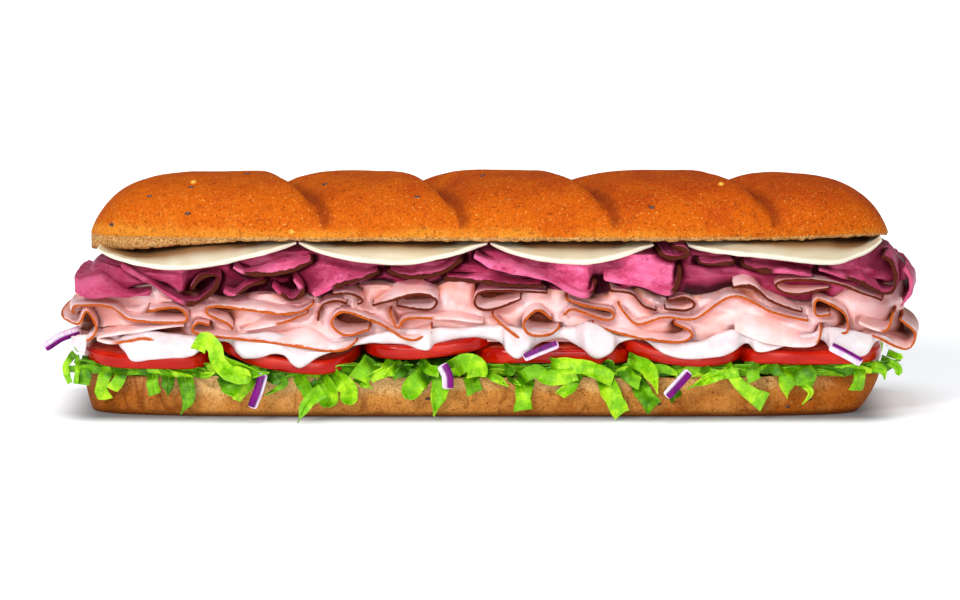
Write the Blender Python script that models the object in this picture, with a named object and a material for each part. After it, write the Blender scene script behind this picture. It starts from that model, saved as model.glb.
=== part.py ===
"""A submarine sandwich: a scored loaf cut in two and stacked with cheese, folded beef, folded turkey,
sauce, tomato, red onion and shredded lettuce.

Frame: +X along the loaf, +Y towards its far side, +Z up, origin on the surface it stands on, under the middle.
Sizes below are millimetres; MM turns them into Blender's metres when a mesh is made.

The meats and the cheese are sheets. Each is drawn as the line that its cut edge follows in the sandwich's front
plane, and runs through the sandwich to its far side. From its hanging edge a slice rises under the loaf's rim until
it meets the slice above, and the whole pile arches a little more in the middle. So the order of the lines in the
front plane is the order of the slices everywhere.
"""

import math

import bmesh
import bpy

MM = 0.001

# The loaf
LOAF_MIDDLE = 3.0  # where the pile under the crown arches most; the fillings reach further on its left
ARCH_HALF_LENGTH = 154.0
CROWN_MIDDLE = 3.7
CROWN_HALF_LENGTH = 155.4
CROWN_HALF_WIDTH = 39.5
CROWN_RIM_HEIGHT = 69.0  # where the crown's cut face is
CROWN_HEIGHT = 22.3  # from that face to its top
CROWN_PLAN = 3.8  # how square the crown's ends are, seen from above
CROWN_ENDS = ((12.4, 0.80), (10.3, 0.75))  # how full its left and right ends are, seen from the front
HEEL_MIDDLE = 0.8
HEEL_HALF_LENGTH = 156.2
HEEL_HALF_WIDTH = 37.5
HEEL_HEIGHT = 16.4
HEEL_HOLLOW = 2.2  # how far the lettuce presses the heel's cut face down
HEEL_PLAN = 4.5
HEEL_SLANTS = (3.5, 9.0)  # how far the foot of its left and right end stands in from its rim
SCORES = (-73.8, -21.0, 37.2, 98.6)  # where the scores cross the crown's ridge
SCORE_DEPTH = 10.0
SCORE_SIDES = (3.3, 8.5)  # how wide a score is on its left and on its right
SCORE_SLANT = 0.32  # a score runs this far along X for each millimetre towards the front

# The pile of fillings
EDGE = 46.0  # the front and far plane that the slices' edges hang in
RIM = 36.0  # inside this the slices lie flat under the loaf
END_START = 112.0  # from here out the pile is drawn in
END_DRAW = 0.30
END_REACH = 52.0
GAP = 0.35  # the clearance that separate solids keep
MOST_RISE = 12.0  # the most that a slice rises from its hanging edge
ARCH = 6.0  # how much higher the pile and the crown's cut face are in the middle than at the rim
SWAY = 5.0  # how far the pile wanders along X in its middle
SWAY_WAVE = 150.0
WINDOW = 6.0  # a slice heeds what lies above it this far to either side
PACKING = 1.45  # how much more height than their thickness two sloping slices need
FINEST = 0.6  # a fold's outline keeps the points that change it by more than this
LONGEST = 13.0  # and has none further apart than this

TURKEY_THICKNESS = 1.3
BEEF_THICKNESS = 2.1
CHEESE_THICKNESS = 2.0
SAUCE_THICKNESS = 1.3
TOMATO_THICKNESS = 4.8

# Every slice's cut edge, left to right along its upper surface, as the fewest (x, z) that its curve passes through
CHEESE_EDGES = {
    "cheese_1": ((-146, 65), (-130, 61.2), (-115, 59.5), (-97, 62), (-73, 66.4)),
    "cheese_2": ((-68, 66.4), (-47, 62.8), (-30, 61.7), (-14, 64), (1, 66.6)),
    "cheese_3": ((5.5, 66.4), (22, 63.4), (38, 61.9), (51, 63.8), (63.5, 66.5)),
    "cheese_4": ((83, 66.5), (108, 64), (133, 61.4), (146, 63.4), (154, 65.8)),
}

BEEF_EDGES = {
    "beef_01": ((-158, 49.4), (-151, 47.2), (-138, 48.4), (-126, 49.6)),
    "beef_02": ((-137, 60), (-125, 53.2), (-111.5, 45.8), (-102, 50.8), (-100, 56.6), (-106.4, 55.8), (-110.2, 51.2)),
    "beef_03": ((-97.8, 50.6), (-93, 49.6), (-87, 53), (-81.6, 54.3)),
    "beef_04": ((-94, 59.9), (-87, 57.4), (-75, 57.6), (-64, 62)),
    "beef_05": ((-79, 52.6), (-72, 47.6), (-67.6, 50.2), (-71, 55)),
    "beef_06": ((-63.8, 48.6), (-55, 52), (-46, 55), (-38.5, 57.8)),
    "beef_07": ((-35.5, 58.4), (-26, 56), (-15, 57.4), (-6.6, 62.4)),
    "beef_08": ((-13.5, 55), (0, 54.6), (12, 53), (24.5, 52.4)),
    "beef_09": ((-2, 63.8), (8, 59), (24, 55.6), (37, 50), (42.6, 50.6), (43.6, 55)),
    "beef_10": ((47.4, 55), (60, 53), (72, 50), (75.6, 54.6), (76, 60.4)),
    "beef_11": ((68.4, 65), (73, 63.4), (78.6, 64.6), (77.6, 67), (73.6, 67.4)),
    "beef_12": ((83, 61.8), (89, 61), (97, 61.6)),
    "beef_13": ((99.8, 60.8), (107, 58.8), (118, 58.4), (127, 56.6)),
    "beef_14": ((129.5, 58.8), (143, 54.8), (154.5, 48.9), (159.6, 51), (160.4, 58), (157.4, 62.4)),
    "beef_15": ((160.4, 45), (165.2, 48.6), (165.6, 55), (163.2, 59.8)),
}

TURKEY_EDGES = {
    "turkey_01": ((-156.3, 40.4), (-154.6, 43.6), (-141, 44), (-133, 39.4), (-114.4, 38.7), (-112.4, 41.8), (-116.6, 44.4), (-127, 42.5)),
    "turkey_02": ((-160, 38.2), (-154.2, 36.4), (-150.6, 41.8), (-146.9, 35.6), (-149.6, 30.6), (-154, 30.4)),
    "turkey_03": ((-136, 31.7), (-129, 33), (-119, 31), (-107.4, 31)),
    "turkey_04": ((-103.5, 37.4), (-108.4, 38.4), (-109.4, 34.8), (-97, 33.1), (-79, 31), (-55, 27.8), (-46.6, 32)),
    "turkey_05": ((-63.4, 45.2), (-73, 42), (-100, 45.2), (-104.3, 42.4), (-97.4, 38.8), (-94.6, 35.6)),
    "turkey_06": ((-90.5, 35.4), (-78, 37.8), (-65.6, 41.8)),
    "turkey_07": ((-50.6, 45.3), (-54.6, 46.7), (-60, 45), (-61.7, 38.8)),
    "turkey_08": ((-42, 35.9), (-51, 33.9), (-56.4, 38.4), (-51.6, 42.9), (-39, 38.7), (-27, 32.1), (-18, 34.3)),
    "turkey_09": ((-34.4, 43), (-31.4, 36.8), (-27.8, 40.4), (-14, 40.4), (1.2, 38.6)),
    "turkey_10": ((-41, 45), (-24.5, 49.6), (-16.7, 47.6), (-19.4, 43.8), (-32, 45)),
    "turkey_11": ((-56.5, 48.9), (-50.4, 49.8), (-44.6, 47.4), (-46.6, 45.2)),
    "turkey_12": ((26, 49.7), (10, 50.8), (0, 50.2), (-1.8, 45.2), (4, 43.4), (16, 47.2)),
    "turkey_13": ((4.6, 41.2), (8.6, 37.6), (16, 32)),
    "turkey_14": ((27.6, 39.8), (22.4, 43.4), (16.8, 38.6), (19, 34.2), (26.4, 34), (31, 37)),
    "turkey_15": ((32.4, 40.8), (36, 43.3), (48.8, 39.5), (50.6, 43), (40, 45.2), (33, 47.4)),
    "turkey_16": ((49.5, 50.9), (57.6, 50), (62.4, 45.2), (67.5, 42.9)),
    "turkey_17": ((53, 45.4), (60, 38), (70, 40.8), (82, 40.4), (97, 48.9), (112, 42.8), (125.6, 39.2)),
    "turkey_18": ((96.5, 51.6), (103.6, 53), (111, 47.4), (123.4, 42.6)),
    "turkey_19": ((71.4, 46.8), (78.4, 48.2), (82, 45.4), (78, 43.4), (70.4, 43.6)),
    "turkey_20": ((43, 38), (52, 34.6), (66, 31.4), (77.6, 31.2), (80.8, 34.6), (74, 37.8)),
    "turkey_21": ((97.6, 35.4), (110, 31), (127, 30), (130.6, 36)),
    "turkey_22": ((134.2, 41.3), (128.4, 41.6), (129, 47.6), (139, 42.4), (140.6, 35), (136, 34)),
    "turkey_23": ((145, 37.8), (155.4, 34.5), (158.2, 41)),
    "turkey_24": ((145.6, 31.4), (151, 32.2), (163.4, 26.4), (167.3, 32.4), (160.8, 38.4)),
    "turkey_25": ((134, 51.5), (119.5, 49.6), (113.1, 52.8), (118.6, 54.8), (134.6, 53.9), (154, 45.8)),
}

SAUCE_EDGE = ((-156, 26.6), (-141, 27.2), (-118, 26.6), (-107, 27.4), (-101.5, 31), (-92, 28.6), (-66, 24.9), (-54, 25.7),
              (-45, 29.8), (-37, 30), (-16, 30.2), (-2, 32.8), (7.4, 34.6), (11, 30.8), (29, 28.9), (46, 29.2), (55, 32.2),
              (68, 28.6), (86, 27.9), (101.5, 29.4), (125, 27.8), (150, 27.4), (157.5, 26.8))
SAUCE_DRIPS = ((-155, 4, 3.5), (-132, 7, 4.5), (-118, 12, 2.5), (-88, 9, 3), (-68, 5, 4.2), (-30, 14, 1.5), (14, 7, 5),
               (44, 7, 5), (84, 14, 3), (146, 7, 4), (156.5, 3, 2.5))  # middle, half width, drop

# left end, lowest place and right end along X, and the height of the slice's middle at each
TOMATOES = {
    "tomato_1": (-154.4, -128.0, -101.8, 23.4, 22.3, 22.4),
    "tomato_2": (-101.0, -62.0, -46.2, 27.6, 20.3, 24.6),
    "tomato_3": (-44.6, -28.0, 7.0, 26.6, 25.7, 30.9),
    "tomato_4": (1.5, 30.0, 53.4, 24.3, 24.5, 25.2),
    "tomato_5": (54.4, 83.0, 102.0, 28.6, 23.3, 25.4),
    "tomato_6": (102.8, 128.0, 156.4, 24.4, 24.2, 23.2),
}
TOMATO_HALF_WIDTH = 41.0
TOMATO_ROUNDNESS = 2.5

# the middle line of each strip, and the strip's depth and height
ONIONS = {
    "onion_1": (((-155.6, -22, 33.3), (-162, -25, 31.6), (-168.3, -28, 27.6)), 5.0, 2.8),
    "onion_2": (((-82.6, -47.4, 19.4), (-84.6, -48.2, 12.6), (-87.2, -48.2, 6.0)), 2.2, 3.8),
    "onion_3": (((-14.6, -47.2, 22.8), (-12.4, -47.8, 18.6), (-12.2, -48.0, 13.4)), 2.2, 4.4),
    "onion_4": (((16.6, -47.0, 25.2), (23, -47.2, 28.0), (30, -47.0, 30.7)), 2.2, 3.2),
    "onion_5": (((80, -47.4, 20.2), (75.6, -48.2, 15.4), (71, -48.2, 10.4)), 2.2, 3.8),
    "onion_6": (((133.4, -47.4, 30), (139.5, -46.9, 26.8), (145.8, -46.2, 23.2)), 2.2, 3.6),
}

# where the lettuce hangs over the loaf's edge: place along X, half width, and how far below the bed it hangs
LETTUCE_LOBES = ((-153, 9, 7), (-127, 17, 9), (-92, 15, 8), (-64, 17, 12), (-32, 14, 8), (-6, 15, 8), (21, 14, 10), (54, 19, 11),
                 (89, 16, 6), (116, 19, 9), (148, 12, 7))
BED_BOTTOM = 16.9
BED_EDGE = 45.5
LETTUCE_THICKNESS = 2.4
LETTUCE_REACH = 160.5

COLOURS = {
    "crown": (0.55, 0.20, 0.05), "heel": (0.50, 0.26, 0.10), "cheese": (0.86, 0.80, 0.58), "beef": (0.50, 0.10, 0.14),
    "turkey": (0.86, 0.55, 0.48), "tomato": (0.60, 0.04, 0.01), "onion": (0.36, 0.06, 0.42), "sauce": (0.92, 0.90, 0.86),
    "lettuce": (0.25, 0.50, 0.03),
}


def clamp(value, low, high):
    return max(low, min(high, value))


def height_at(points, x):
    """The height at x of a line through points that runs left to right, read straight between them."""
    if x <= points[0][0]:
        return points[0][1]
    for (x0, z0), (x1, z1) in zip(points, points[1:]):
        if x <= x1:
            return z0 + (z1 - z0) * (x - x0) / (x1 - x0)
    return points[-1][1]


def draw_in(x):
    """How much of its width the pile keeps at x: all of it along the loaf, less at the round ends."""
    out = max(0.0, abs(x - LOAF_MIDDLE) - END_START) / END_REACH
    return 1 - END_DRAW * out * out


def arch(x, y=0.0):
    """How much higher the pile and the crown's cut face are here than at the rim."""
    return ARCH * max(0.0, 1 - abs((x - LOAF_MIDDLE) / ARCH_HALF_LENGTH) ** 5) * max(0.0, 1 - abs(y) / RIM)


def sway(x):
    """How far the pile's middle lies along X from its edges."""
    return SWAY * math.sin(2 * math.pi * (x + 40) / SWAY_WAVE) * max(0.0, 1 - abs(x / 165) ** 4)


def curve(points, steps=8):
    """A smooth line through points, as a Catmull-Rom spline, and then thinned to the points it needs."""
    padded = [points[0], *points, points[-1]]
    line = []
    for a, b, c, d in zip(padded, padded[1:], padded[2:], padded[3:]):
        for i in range(steps):
            t = i / steps
            line.append(tuple(0.5 * (2 * q + (r - p) * t + (2 * p - 5 * q + 4 * r - s) * t**2 + (3 * q - p - 3 * r + s) * t**3)
                              for p, q, r, s in zip(a, b, c, d)))
    line.append(points[-1])
    return thinned(line)


def thinned(line):
    """The line without the points that change it by less than FINEST."""
    (x0, z0), (x1, z1) = line[0], line[-1]
    length = math.hypot(x1 - x0, z1 - z0)
    off = [abs((x1 - x0) * (z0 - z) - (x0 - x) * (z1 - z0)) / length for x, z in line]
    furthest = max(range(len(line)), key=off.__getitem__)
    if off[furthest] < FINEST:
        count = math.ceil(length / LONGEST)
        return [(x0 + (x1 - x0) * i / count, z0 + (z1 - z0) * i / count) for i in range(count + 1)]
    return thinned(line[:furthest + 1])[:-1] + thinned(line[furthest:])


class Pile:
    """All the slices' cut edges, to tell how far each point of one may rise before it meets the next."""

    def __init__(self):
        self.lines = {}
        self.thickness = {}

    def add(self, edges, thickness):
        for name, points in edges.items():
            self.lines[name] = curve(points)
            self.thickness[name] = thickness

    def room_above(self, name, index):
        """The height free above one point of a slice's edge, up to the next slice or the crown."""
        line, own = self.lines[name], self.thickness[name]
        x, z = line[index]
        room = CROWN_RIM_HEIGHT - 2 * GAP - own / 2 - z
        for other, points in self.lines.items():
            needed = PACKING * (own + self.thickness[other]) / 2 + GAP
            for i, (a, b) in enumerate(zip(points, points[1:])):
                if other == name and index - 2 <= i <= index + 1:
                    continue
                for near in (x - WINDOW, x, x + WINDOW):
                    low, high = sorted((a, b))
                    if low[0] <= near <= high[0] and high[0] > low[0]:
                        above = height_at((low, high), near) - z
                        if above > 0.5:
                            share = 0.6 if other == name else 1.0
                            room = min(room, share * max(0.0, above - needed))
                for end in (a, b):
                    if abs(end[0] - x) <= WINDOW and end[1] - z > 0.5:
                        share = 0.6 if other == name else 1.0
                        room = min(room, share * max(0.0, end[1] - z - needed))
        return clamp(room, 0.0, MOST_RISE)

    def rows(self, name):
        """The rows of a slice: its hanging edge, the loaf's rim, the middle, and the same again on the far side."""
        line = self.lines[name]
        last = len(line) - 1
        rise = [self.room_above(name, i) for i in range(last + 1)]
        rows = []
        for depth in (-EDGE, -RIM, 0.0, RIM, EDGE):
            row = []
            for i, (x, z) in enumerate(line):
                if abs(depth) > RIM:
                    recess = math.copysign(4.0 * abs(2 * i / last - 1) ** 3, depth)
                    row.append((x, (depth - recess) * draw_in(x), z))
                elif depth:
                    row.append((x, depth * draw_in(x), z + rise[i]))
                else:
                    row.append((x + sway(x), 0.0, z + rise[i] + arch(x)))
            rows.append(row)
        return rows


def place(name, mesh_source, colour):
    """Makes the bmesh an object of its own, with a plain material."""
    mesh = bpy.data.meshes.new(name)
    mesh_source.to_mesh(mesh)
    mesh_source.free()
    obj = bpy.data.objects.new(name, mesh)
    bpy.context.scene.collection.objects.link(obj)
    mesh.materials.append(plain_material(colour))
    mesh.shade_smooth()
    mesh.set_sharp_from_angle(angle=math.radians(50))
    return obj


def plain_material(name):
    """A Principled material in the part's colour, made once for each kind."""
    made = bpy.data.materials.get(name)
    if made is None:
        made = bpy.data.materials.new(name)
        made.use_nodes = True
        shader = made.node_tree.nodes["Principled BSDF"]
        shader.inputs["Base Color"].default_value = (*COLOURS[name], 1)
        shader.inputs["Roughness"].default_value = 0.35 if name in ("tomato", "sauce", "onion") else 0.65
    return made


def sheet(name, rows, thickness, colour):
    """A sheet of even thickness whose middle surface passes through rows of points, each row as long as the next."""
    made = bmesh.new()
    vertices = [[made.verts.new([c * MM for c in point]) for point in row] for row in rows]
    for row, following in zip(vertices, vertices[1:]):
        for a, b, c, d in zip(row, row[1:], following[1:], following):
            made.faces.new((a, b, c, d))
    obj = place(name, made, colour)
    solidify = obj.modifiers.new("thickness", "SOLIDIFY")
    solidify.thickness = thickness * MM
    solidify.offset = 0
    solidify.use_quality_normals = True
    return obj


def loft(name, sections, colour):
    """A closed solid through rings of points, with a flat cap on the first and last ring."""
    made = bmesh.new()
    rings = [[made.verts.new([c * MM for c in point]) for point in section] for section in sections]
    for ring, following in zip(rings, rings[1:]):
        count = len(ring)
        for i in range(count):
            j = (i + 1) % count
            made.faces.new((ring[i], ring[j], following[j], following[i]))
    made.faces.new(rings[0][::-1])
    made.faces.new(rings[-1])
    bmesh.ops.recalc_face_normals(made, faces=made.faces)
    return place(name, made, colour)


def slices():
    pile = Pile()
    kinds = ((TURKEY_EDGES, TURKEY_THICKNESS, "turkey"), (BEEF_EDGES, BEEF_THICKNESS, "beef"),
             (CHEESE_EDGES, CHEESE_THICKNESS, "cheese"))
    for edges, thickness, _ in kinds:
        pile.add(edges, thickness)
    for edges, thickness, colour in kinds:
        for name in edges:
            sheet(name, pile.rows(name), thickness, colour)


def drip(x):
    """How far the sauce runs down over the tomato at x."""
    return max([0.6] + [drop * (1 - ((x - middle) / half) ** 2) for middle, half, drop in SAUCE_DRIPS if abs(x - middle) < half])


def sauce_points():
    """The sauce's line with points added for each drip."""
    points = list(SAUCE_EDGE)
    for middle, half, _ in SAUCE_DRIPS:
        for x in (middle - 0.9 * half, middle, middle + 0.9 * half):
            if min(abs(x - other) for other, _ in points) > 2.4:
                points.append((x, height_at(SAUCE_EDGE, x)))
    return sorted(points)


def sauce():
    rows = []
    for depth, hang in ((-43.6, 1), (-42.4, 0), (42.4, 0), (43.6, 1)):
        rows.append([(x, depth * draw_in(x), z - hang * drip(x)) for x, z in sauce_points()])
    sheet("sauce", rows, SAUCE_THICKNESS, "sauce")


def sagged(x, left, lowest, right, left_height, low_height, right_height):
    """The height of a slice that rests on its neighbours at its ends and sags between them."""
    if x < lowest:
        return low_height + (left_height - low_height) * min(1, (lowest - x) / (lowest - left)) ** 2
    return low_height + (right_height - low_height) * min(1, (x - lowest) / (right - lowest)) ** 2


def tomato(name, shape):
    """A round slice, bent to rest on its neighbours. It has a flat skin edge all round."""
    rings, spokes = (0.6, 1.0), 22
    middle, half = (shape[0] + shape[2]) / 2, (shape[2] - shape[0]) / 2
    made = bmesh.new()

    def point(radius, angle, side):
        c, s = math.cos(angle), math.sin(angle)
        power = 2 / TOMATO_ROUNDNESS
        x = middle + radius * half * math.copysign(abs(c) ** power, c)
        y = radius * TOMATO_HALF_WIDTH * math.copysign(abs(s) ** power, s)
        z = sagged(x, *shape) + side * TOMATO_THICKNESS / 2
        return made.verts.new([c * MM for c in (x, y * draw_in(x), z)])

    layers = []
    for side in (-1, 1):
        centre = point(0, 0, side)
        layers.append((centre, [[point(r, 2 * math.pi * k / spokes, side) for k in range(spokes)] for r in rings]))
    for centre, (inner, outer) in layers:
        for k in range(spokes):
            j = (k + 1) % spokes
            made.faces.new((centre, inner[k], inner[j]))
            made.faces.new((inner[k], outer[k], outer[j], inner[j]))
    lower, upper = layers[0][1][1], layers[1][1][1]
    for k in range(spokes):
        j = (k + 1) % spokes
        made.faces.new((lower[k], lower[j], upper[j], upper[k]))
    bmesh.ops.recalc_face_normals(made, faces=made.faces)
    place(name, made, "tomato")


def onion(name, line, depth, height):
    """A strip with a rectangular section, bent along its middle line."""
    sections = []
    for i, (x, y, z) in enumerate(line):
        before, after = line[max(0, i - 1)], line[min(len(line) - 1, i + 1)]
        run, rise = after[0] - before[0], after[2] - before[2]
        size = math.hypot(run, rise)
        nx, nz = -rise / size, run / size
        sections.append([(x + nx * side * height / 2, y + fore * depth / 2, z + nz * side * height / 2)
                         for fore, side in ((-1, -1), (1, -1), (1, 1), (-1, 1))])
    loft(name, sections, "onion")


def tomato_underside(x):
    """The height of the tomatoes' undersides at x, or a little under the sauce where there is no tomato."""
    lows = [sagged(x, *shape) - TOMATO_THICKNESS / 2 for shape in TOMATOES.values() if shape[0] - 1.5 <= x <= shape[2] + 1.5]
    return min(lows) if lows else height_at(SAUCE_EDGE, x) - 3


def lobe(x):
    """How far below the bed the lettuce hangs at x."""
    return max([1.5] + [drop * (1 - ((x - middle) / half) ** 2) for middle, half, drop in LETTUCE_LOBES if abs(x - middle) < half])


def lettuce():
    """The bed of shreds and what hangs over the loaf's edges, out to its uneven outline."""
    sections = []
    count = 44
    step = 2 * LETTUCE_REACH / count
    for i in range(count + 1):
        x = -LETTUCE_REACH + step * i
        top = min(tomato_underside(x + dx) for dx in (-7, -3.5, 0, 3.5, 7)) - GAP - 0.25
        keep = draw_in(x)
        low = BED_BOTTOM - lobe(x)
        inner = HEEL_HALF_WIDTH * max(heel_plan(x + dx) for dx in (-step / 2, 0, step / 2)) + 1.6
        outer = max(inner + LETTUCE_THICKNESS, BED_EDGE * keep * (1 - abs(x / 161) ** 12) ** 0.5)
        half = [(outer, top), (outer, low), (outer - LETTUCE_THICKNESS, low), (inner, BED_BOTTOM - 0.6),
                (max(0.4, inner - 3), BED_BOTTOM)]
        sections.append([(x, -y, z) for y, z in half] + [(x, y, z) for y, z in reversed(half)])
    loft("lettuce", sections, "lettuce")


def plan(along, power):
    """How much of its full width a loaf has at a place that is along of the way from its middle to its end."""
    return (1 - min(1.0, abs(along)) ** power) ** (1 / power)


def heel_plan(x):
    return plan((x - HEEL_MIDDLE) / HEEL_HALF_LENGTH, HEEL_PLAN)


def crown_height(x):
    """The crown's height over its cut face at x, without its scores."""
    along = (x - CROWN_MIDDLE) / CROWN_HALF_LENGTH
    power, root = CROWN_ENDS[along > 0]
    return CROWN_HEIGHT * (1 - min(1.0, abs(along)) ** power) ** root


def crown_stations():
    """Where the crown's sections cross its ridge: the round ends, and each score with its shoulders."""
    ends = [CROWN_MIDDLE + side * CROWN_HALF_LENGTH * part for side in (-1, 1) for part in (0.9985, 0.985, 0.95, 0.89, 0.8, 0.7)]
    scores = [score + off for score in SCORES for off in (-5.0, 0.0, 6.0, 15.0)]
    return sorted(ends + scores)


def score_depth(ridge_x):
    """How far the scores sink the section that crosses the ridge at ridge_x. The left side of each is the steeper."""
    return max(SCORE_DEPTH * math.exp(-(abs(ridge_x - score) / SCORE_SIDES[ridge_x > score]) ** 1.4) for score in SCORES)


def crown():
    """The crown's sections follow the slant of its scores, less so towards the round ends."""
    sections = []
    for ridge_x in crown_stations():
        from_end = 1 - abs((ridge_x - CROWN_MIDDLE) / CROWN_HALF_LENGTH)
        slant = SCORE_SLANT * min(1.0, 4 * from_end)

        def over(across):
            """The place over the cut face that is across of the way to the loaf's side on this section."""
            x = ridge_x - slant * across * CROWN_HALF_WIDTH
            return x, across * CROWN_HALF_WIDTH * plan((x - CROWN_MIDDLE) / CROWN_HALF_LENGTH, CROWN_PLAN)

        section = []
        for k in range(12):
            angle = math.pi * k / 11
            across = -math.copysign(abs(math.cos(angle)) ** 0.8, math.cos(angle))
            x, y = over(across)
            body = math.sin(angle) ** 0.8 * crown_height(x)
            sunk = score_depth(ridge_x) * (1 - 0.6 * abs(across) ** 1.5) * body / CROWN_HEIGHT
            section.append((x, y, CROWN_RIM_HEIGHT + arch(x, y) + body * (1 - arch(x, y) / CROWN_HEIGHT) - sunk))
        for across in (0.75, 0.0, -0.75):
            x, y = over(across)
            section.append((x, y, CROWN_RIM_HEIGHT + arch(x, y) + GAP))
        sections.append(section)
    loft("crown", sections, "crown")


def heel():
    """The heel's sections, with the ends slanting in towards the foot."""
    count = 24
    sections = []
    for i in range(1, count):
        way = math.sin(math.pi * (i / count - 0.5))
        x = HEEL_MIDDLE + HEEL_HALF_LENGTH * way
        keep = heel_plan(x)
        width = HEEL_HALF_WIDTH * keep
        foot = max(0.6, width - 9.0)
        half = [(foot, 0.0), (width - 2.2 * keep, 3.4), (width, 9.0), (width - 0.6 * keep, HEEL_HEIGHT)]
        section = [(-y, z) for y, z in half] + [(0, HEEL_HEIGHT - HEEL_HOLLOW * keep)] + [(y, z) for y, z in reversed(half)]
        inward = -math.copysign(HEEL_SLANTS[way > 0] * abs(way) ** 9, way)
        sections.append([(x + inward * (1 - z / HEEL_HEIGHT) ** 1.5, y, z) for y, z in section])
    loft("heel", sections, "heel")


def clear_scene():
    for obj in list(bpy.data.objects):
        bpy.data.objects.remove(obj)


def main():
    clear_scene()
    heel()
    lettuce()
    for name, shape in TOMATOES.items():
        tomato(name, shape)
    sauce()
    slices()
    crown()
    for name, (line, depth, height) in ONIONS.items():
        onion(name, line, depth, height)


main()
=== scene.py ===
"""A dressed submarine sandwich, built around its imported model.

Lengths are millimetres, and MM turns them into Blender's metres when a mesh is placed. Only the finishes'
own places, the floor and the lights are given in metres. +X runs along the loaf, +Y towards its far side
and +Z up. The meats and the cheese are folded sheets: each is drawn as the line that its cut edge follows
at the front of the sandwich, and runs from there to the far side.
"""

from __future__ import annotations

import logging
import math
import random
from dataclasses import dataclass, field
from enum import Enum

import bmesh
import bpy
import numpy as np
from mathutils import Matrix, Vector, noise

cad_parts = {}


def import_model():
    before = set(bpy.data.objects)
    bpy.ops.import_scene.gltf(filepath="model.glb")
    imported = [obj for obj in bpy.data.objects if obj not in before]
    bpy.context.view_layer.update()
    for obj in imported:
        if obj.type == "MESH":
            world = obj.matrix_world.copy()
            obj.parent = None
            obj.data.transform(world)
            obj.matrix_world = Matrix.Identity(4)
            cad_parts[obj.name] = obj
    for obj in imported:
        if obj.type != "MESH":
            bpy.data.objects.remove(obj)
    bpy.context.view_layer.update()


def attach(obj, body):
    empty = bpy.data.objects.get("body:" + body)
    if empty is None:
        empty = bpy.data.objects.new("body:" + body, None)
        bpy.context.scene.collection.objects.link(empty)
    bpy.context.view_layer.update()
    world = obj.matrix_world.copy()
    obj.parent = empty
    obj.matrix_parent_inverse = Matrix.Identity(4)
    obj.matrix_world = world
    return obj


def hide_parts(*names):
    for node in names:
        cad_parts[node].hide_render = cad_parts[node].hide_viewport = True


LOG = logging.getLogger("sandwich")
MM = 0.001
NOISE_SEED = 11
BODY = "root"

Colour = tuple[float, float, float]
Place = tuple[float, float, float]
Span = tuple[float, float]
Points = tuple[Span, ...]
Socket = bpy.types.NodeSocket


# ---------------------------------------------------------------- numbers and noise


def tone(red: int, green: int, blue: int) -> Colour:
    """A linear colour from display values of 0 to 255."""
    def linear(value: int) -> float:
        """One channel made linear."""
        part = value / 255
        return part / 12.92 if part <= 0.04045 else ((part + 0.055) / 1.055) ** 2.4

    return linear(red), linear(green), linear(blue)


def smooth(value: np.ndarray, low: float, high: float) -> np.ndarray:
    """A smooth step from 0 at low to 1 at high."""
    part = np.clip((value - low) / (high - low), 0.0, 1.0)
    return part * part * (3 - 2 * part)


def curved(value: np.ndarray, power: float) -> np.ndarray:
    """The value with its size raised to a power and its sign kept."""
    return np.sign(value) * np.abs(value) ** power


def crowded(way: np.ndarray, share: float) -> np.ndarray:
    """The way from -1 to 1 with this share of it led by a sine, so that it is closer set at both ends."""
    off = np.abs(way)
    return np.sign(way) * ((1 - share) * off + share * np.sin(off * math.pi / 2))


def sample(x: np.ndarray, y: np.ndarray, z: np.ndarray, source: object = noise.noise) -> np.ndarray:
    """Noise of about -1 to 1 at each place. A coordinate may be one number for all places."""
    return np.array([source(place) for place in zip(*np.broadcast_arrays(x, y, z))])


def bumps(points: np.ndarray, size: float, seed: float, source: object = noise.noise) -> np.ndarray:
    """Even noise of about -1 to 1 at each point.

    Args:
        points: the places, in millimetres, one row each.
        size: how large a bump is, in millimetres.
        seed: where in the noise to look.
        source: the noise function.

    Returns:
        One value for each point.
    """
    x, y, z = points.T / size
    return sample(x + seed, y - seed, z + 2 * seed, source)


def drift(points: np.ndarray, size: float, seed: float) -> np.ndarray:
    """A noise vector of about -1 to 1 at each point; see bumps()."""
    return bumps(points, size, seed, noise.noise_vector)


def layers(points: np.ndarray, *each: tuple[float, float, float]) -> np.ndarray:
    """Several layers of bumps() added up, each given by its height, its size and its seed."""
    return sum(height * bumps(points, size, seed) for height, size, seed in each)


def run_along(line: np.ndarray) -> np.ndarray:
    """How far along a drawn line each of its points lies, in millimetres."""
    return np.concatenate([[0], np.cumsum(np.hypot(*np.diff(line, axis=0).T))])


def spline(points: Points, step: float) -> np.ndarray:
    """A smooth line through points, with a point about every step millimetres.

    Args:
        points: what the line passes through.
        step: the distance between the points that come back.

    Returns:
        One (x, z) row for each point.
    """
    fine = 24
    padded = np.array([points[0], *points, points[-1]], dtype=float)
    t = np.linspace(0, 1, fine, endpoint=False)[:, None]
    parts = [0.5 * (2 * b + (c - a) * t + (2 * a - 5 * b + 4 * c - d) * t**2 + (3 * b - a - 3 * c + d) * t**3)
             for a, b, c, d in zip(padded, padded[1:], padded[2:], padded[3:])]
    line = np.vstack([*parts, padded[-1:]])
    run = run_along(line)
    even = np.linspace(0, run[-1], max(4, round(run[-1] / step)) + 1)
    return np.column_stack([np.interp(even, run, values) for values in line.T])


# ---------------------------------------------------------------- shaping meshes


def deselect() -> None:
    """Leaves nothing selected, so that an operator acts on the new piece alone."""
    for obj in bpy.context.selected_objects:
        obj.select_set(False)


def make_active(obj: bpy.types.Object) -> None:
    """Selects this object alone."""
    deselect()
    obj.select_set(True)
    bpy.context.view_layer.objects.active = obj


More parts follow.
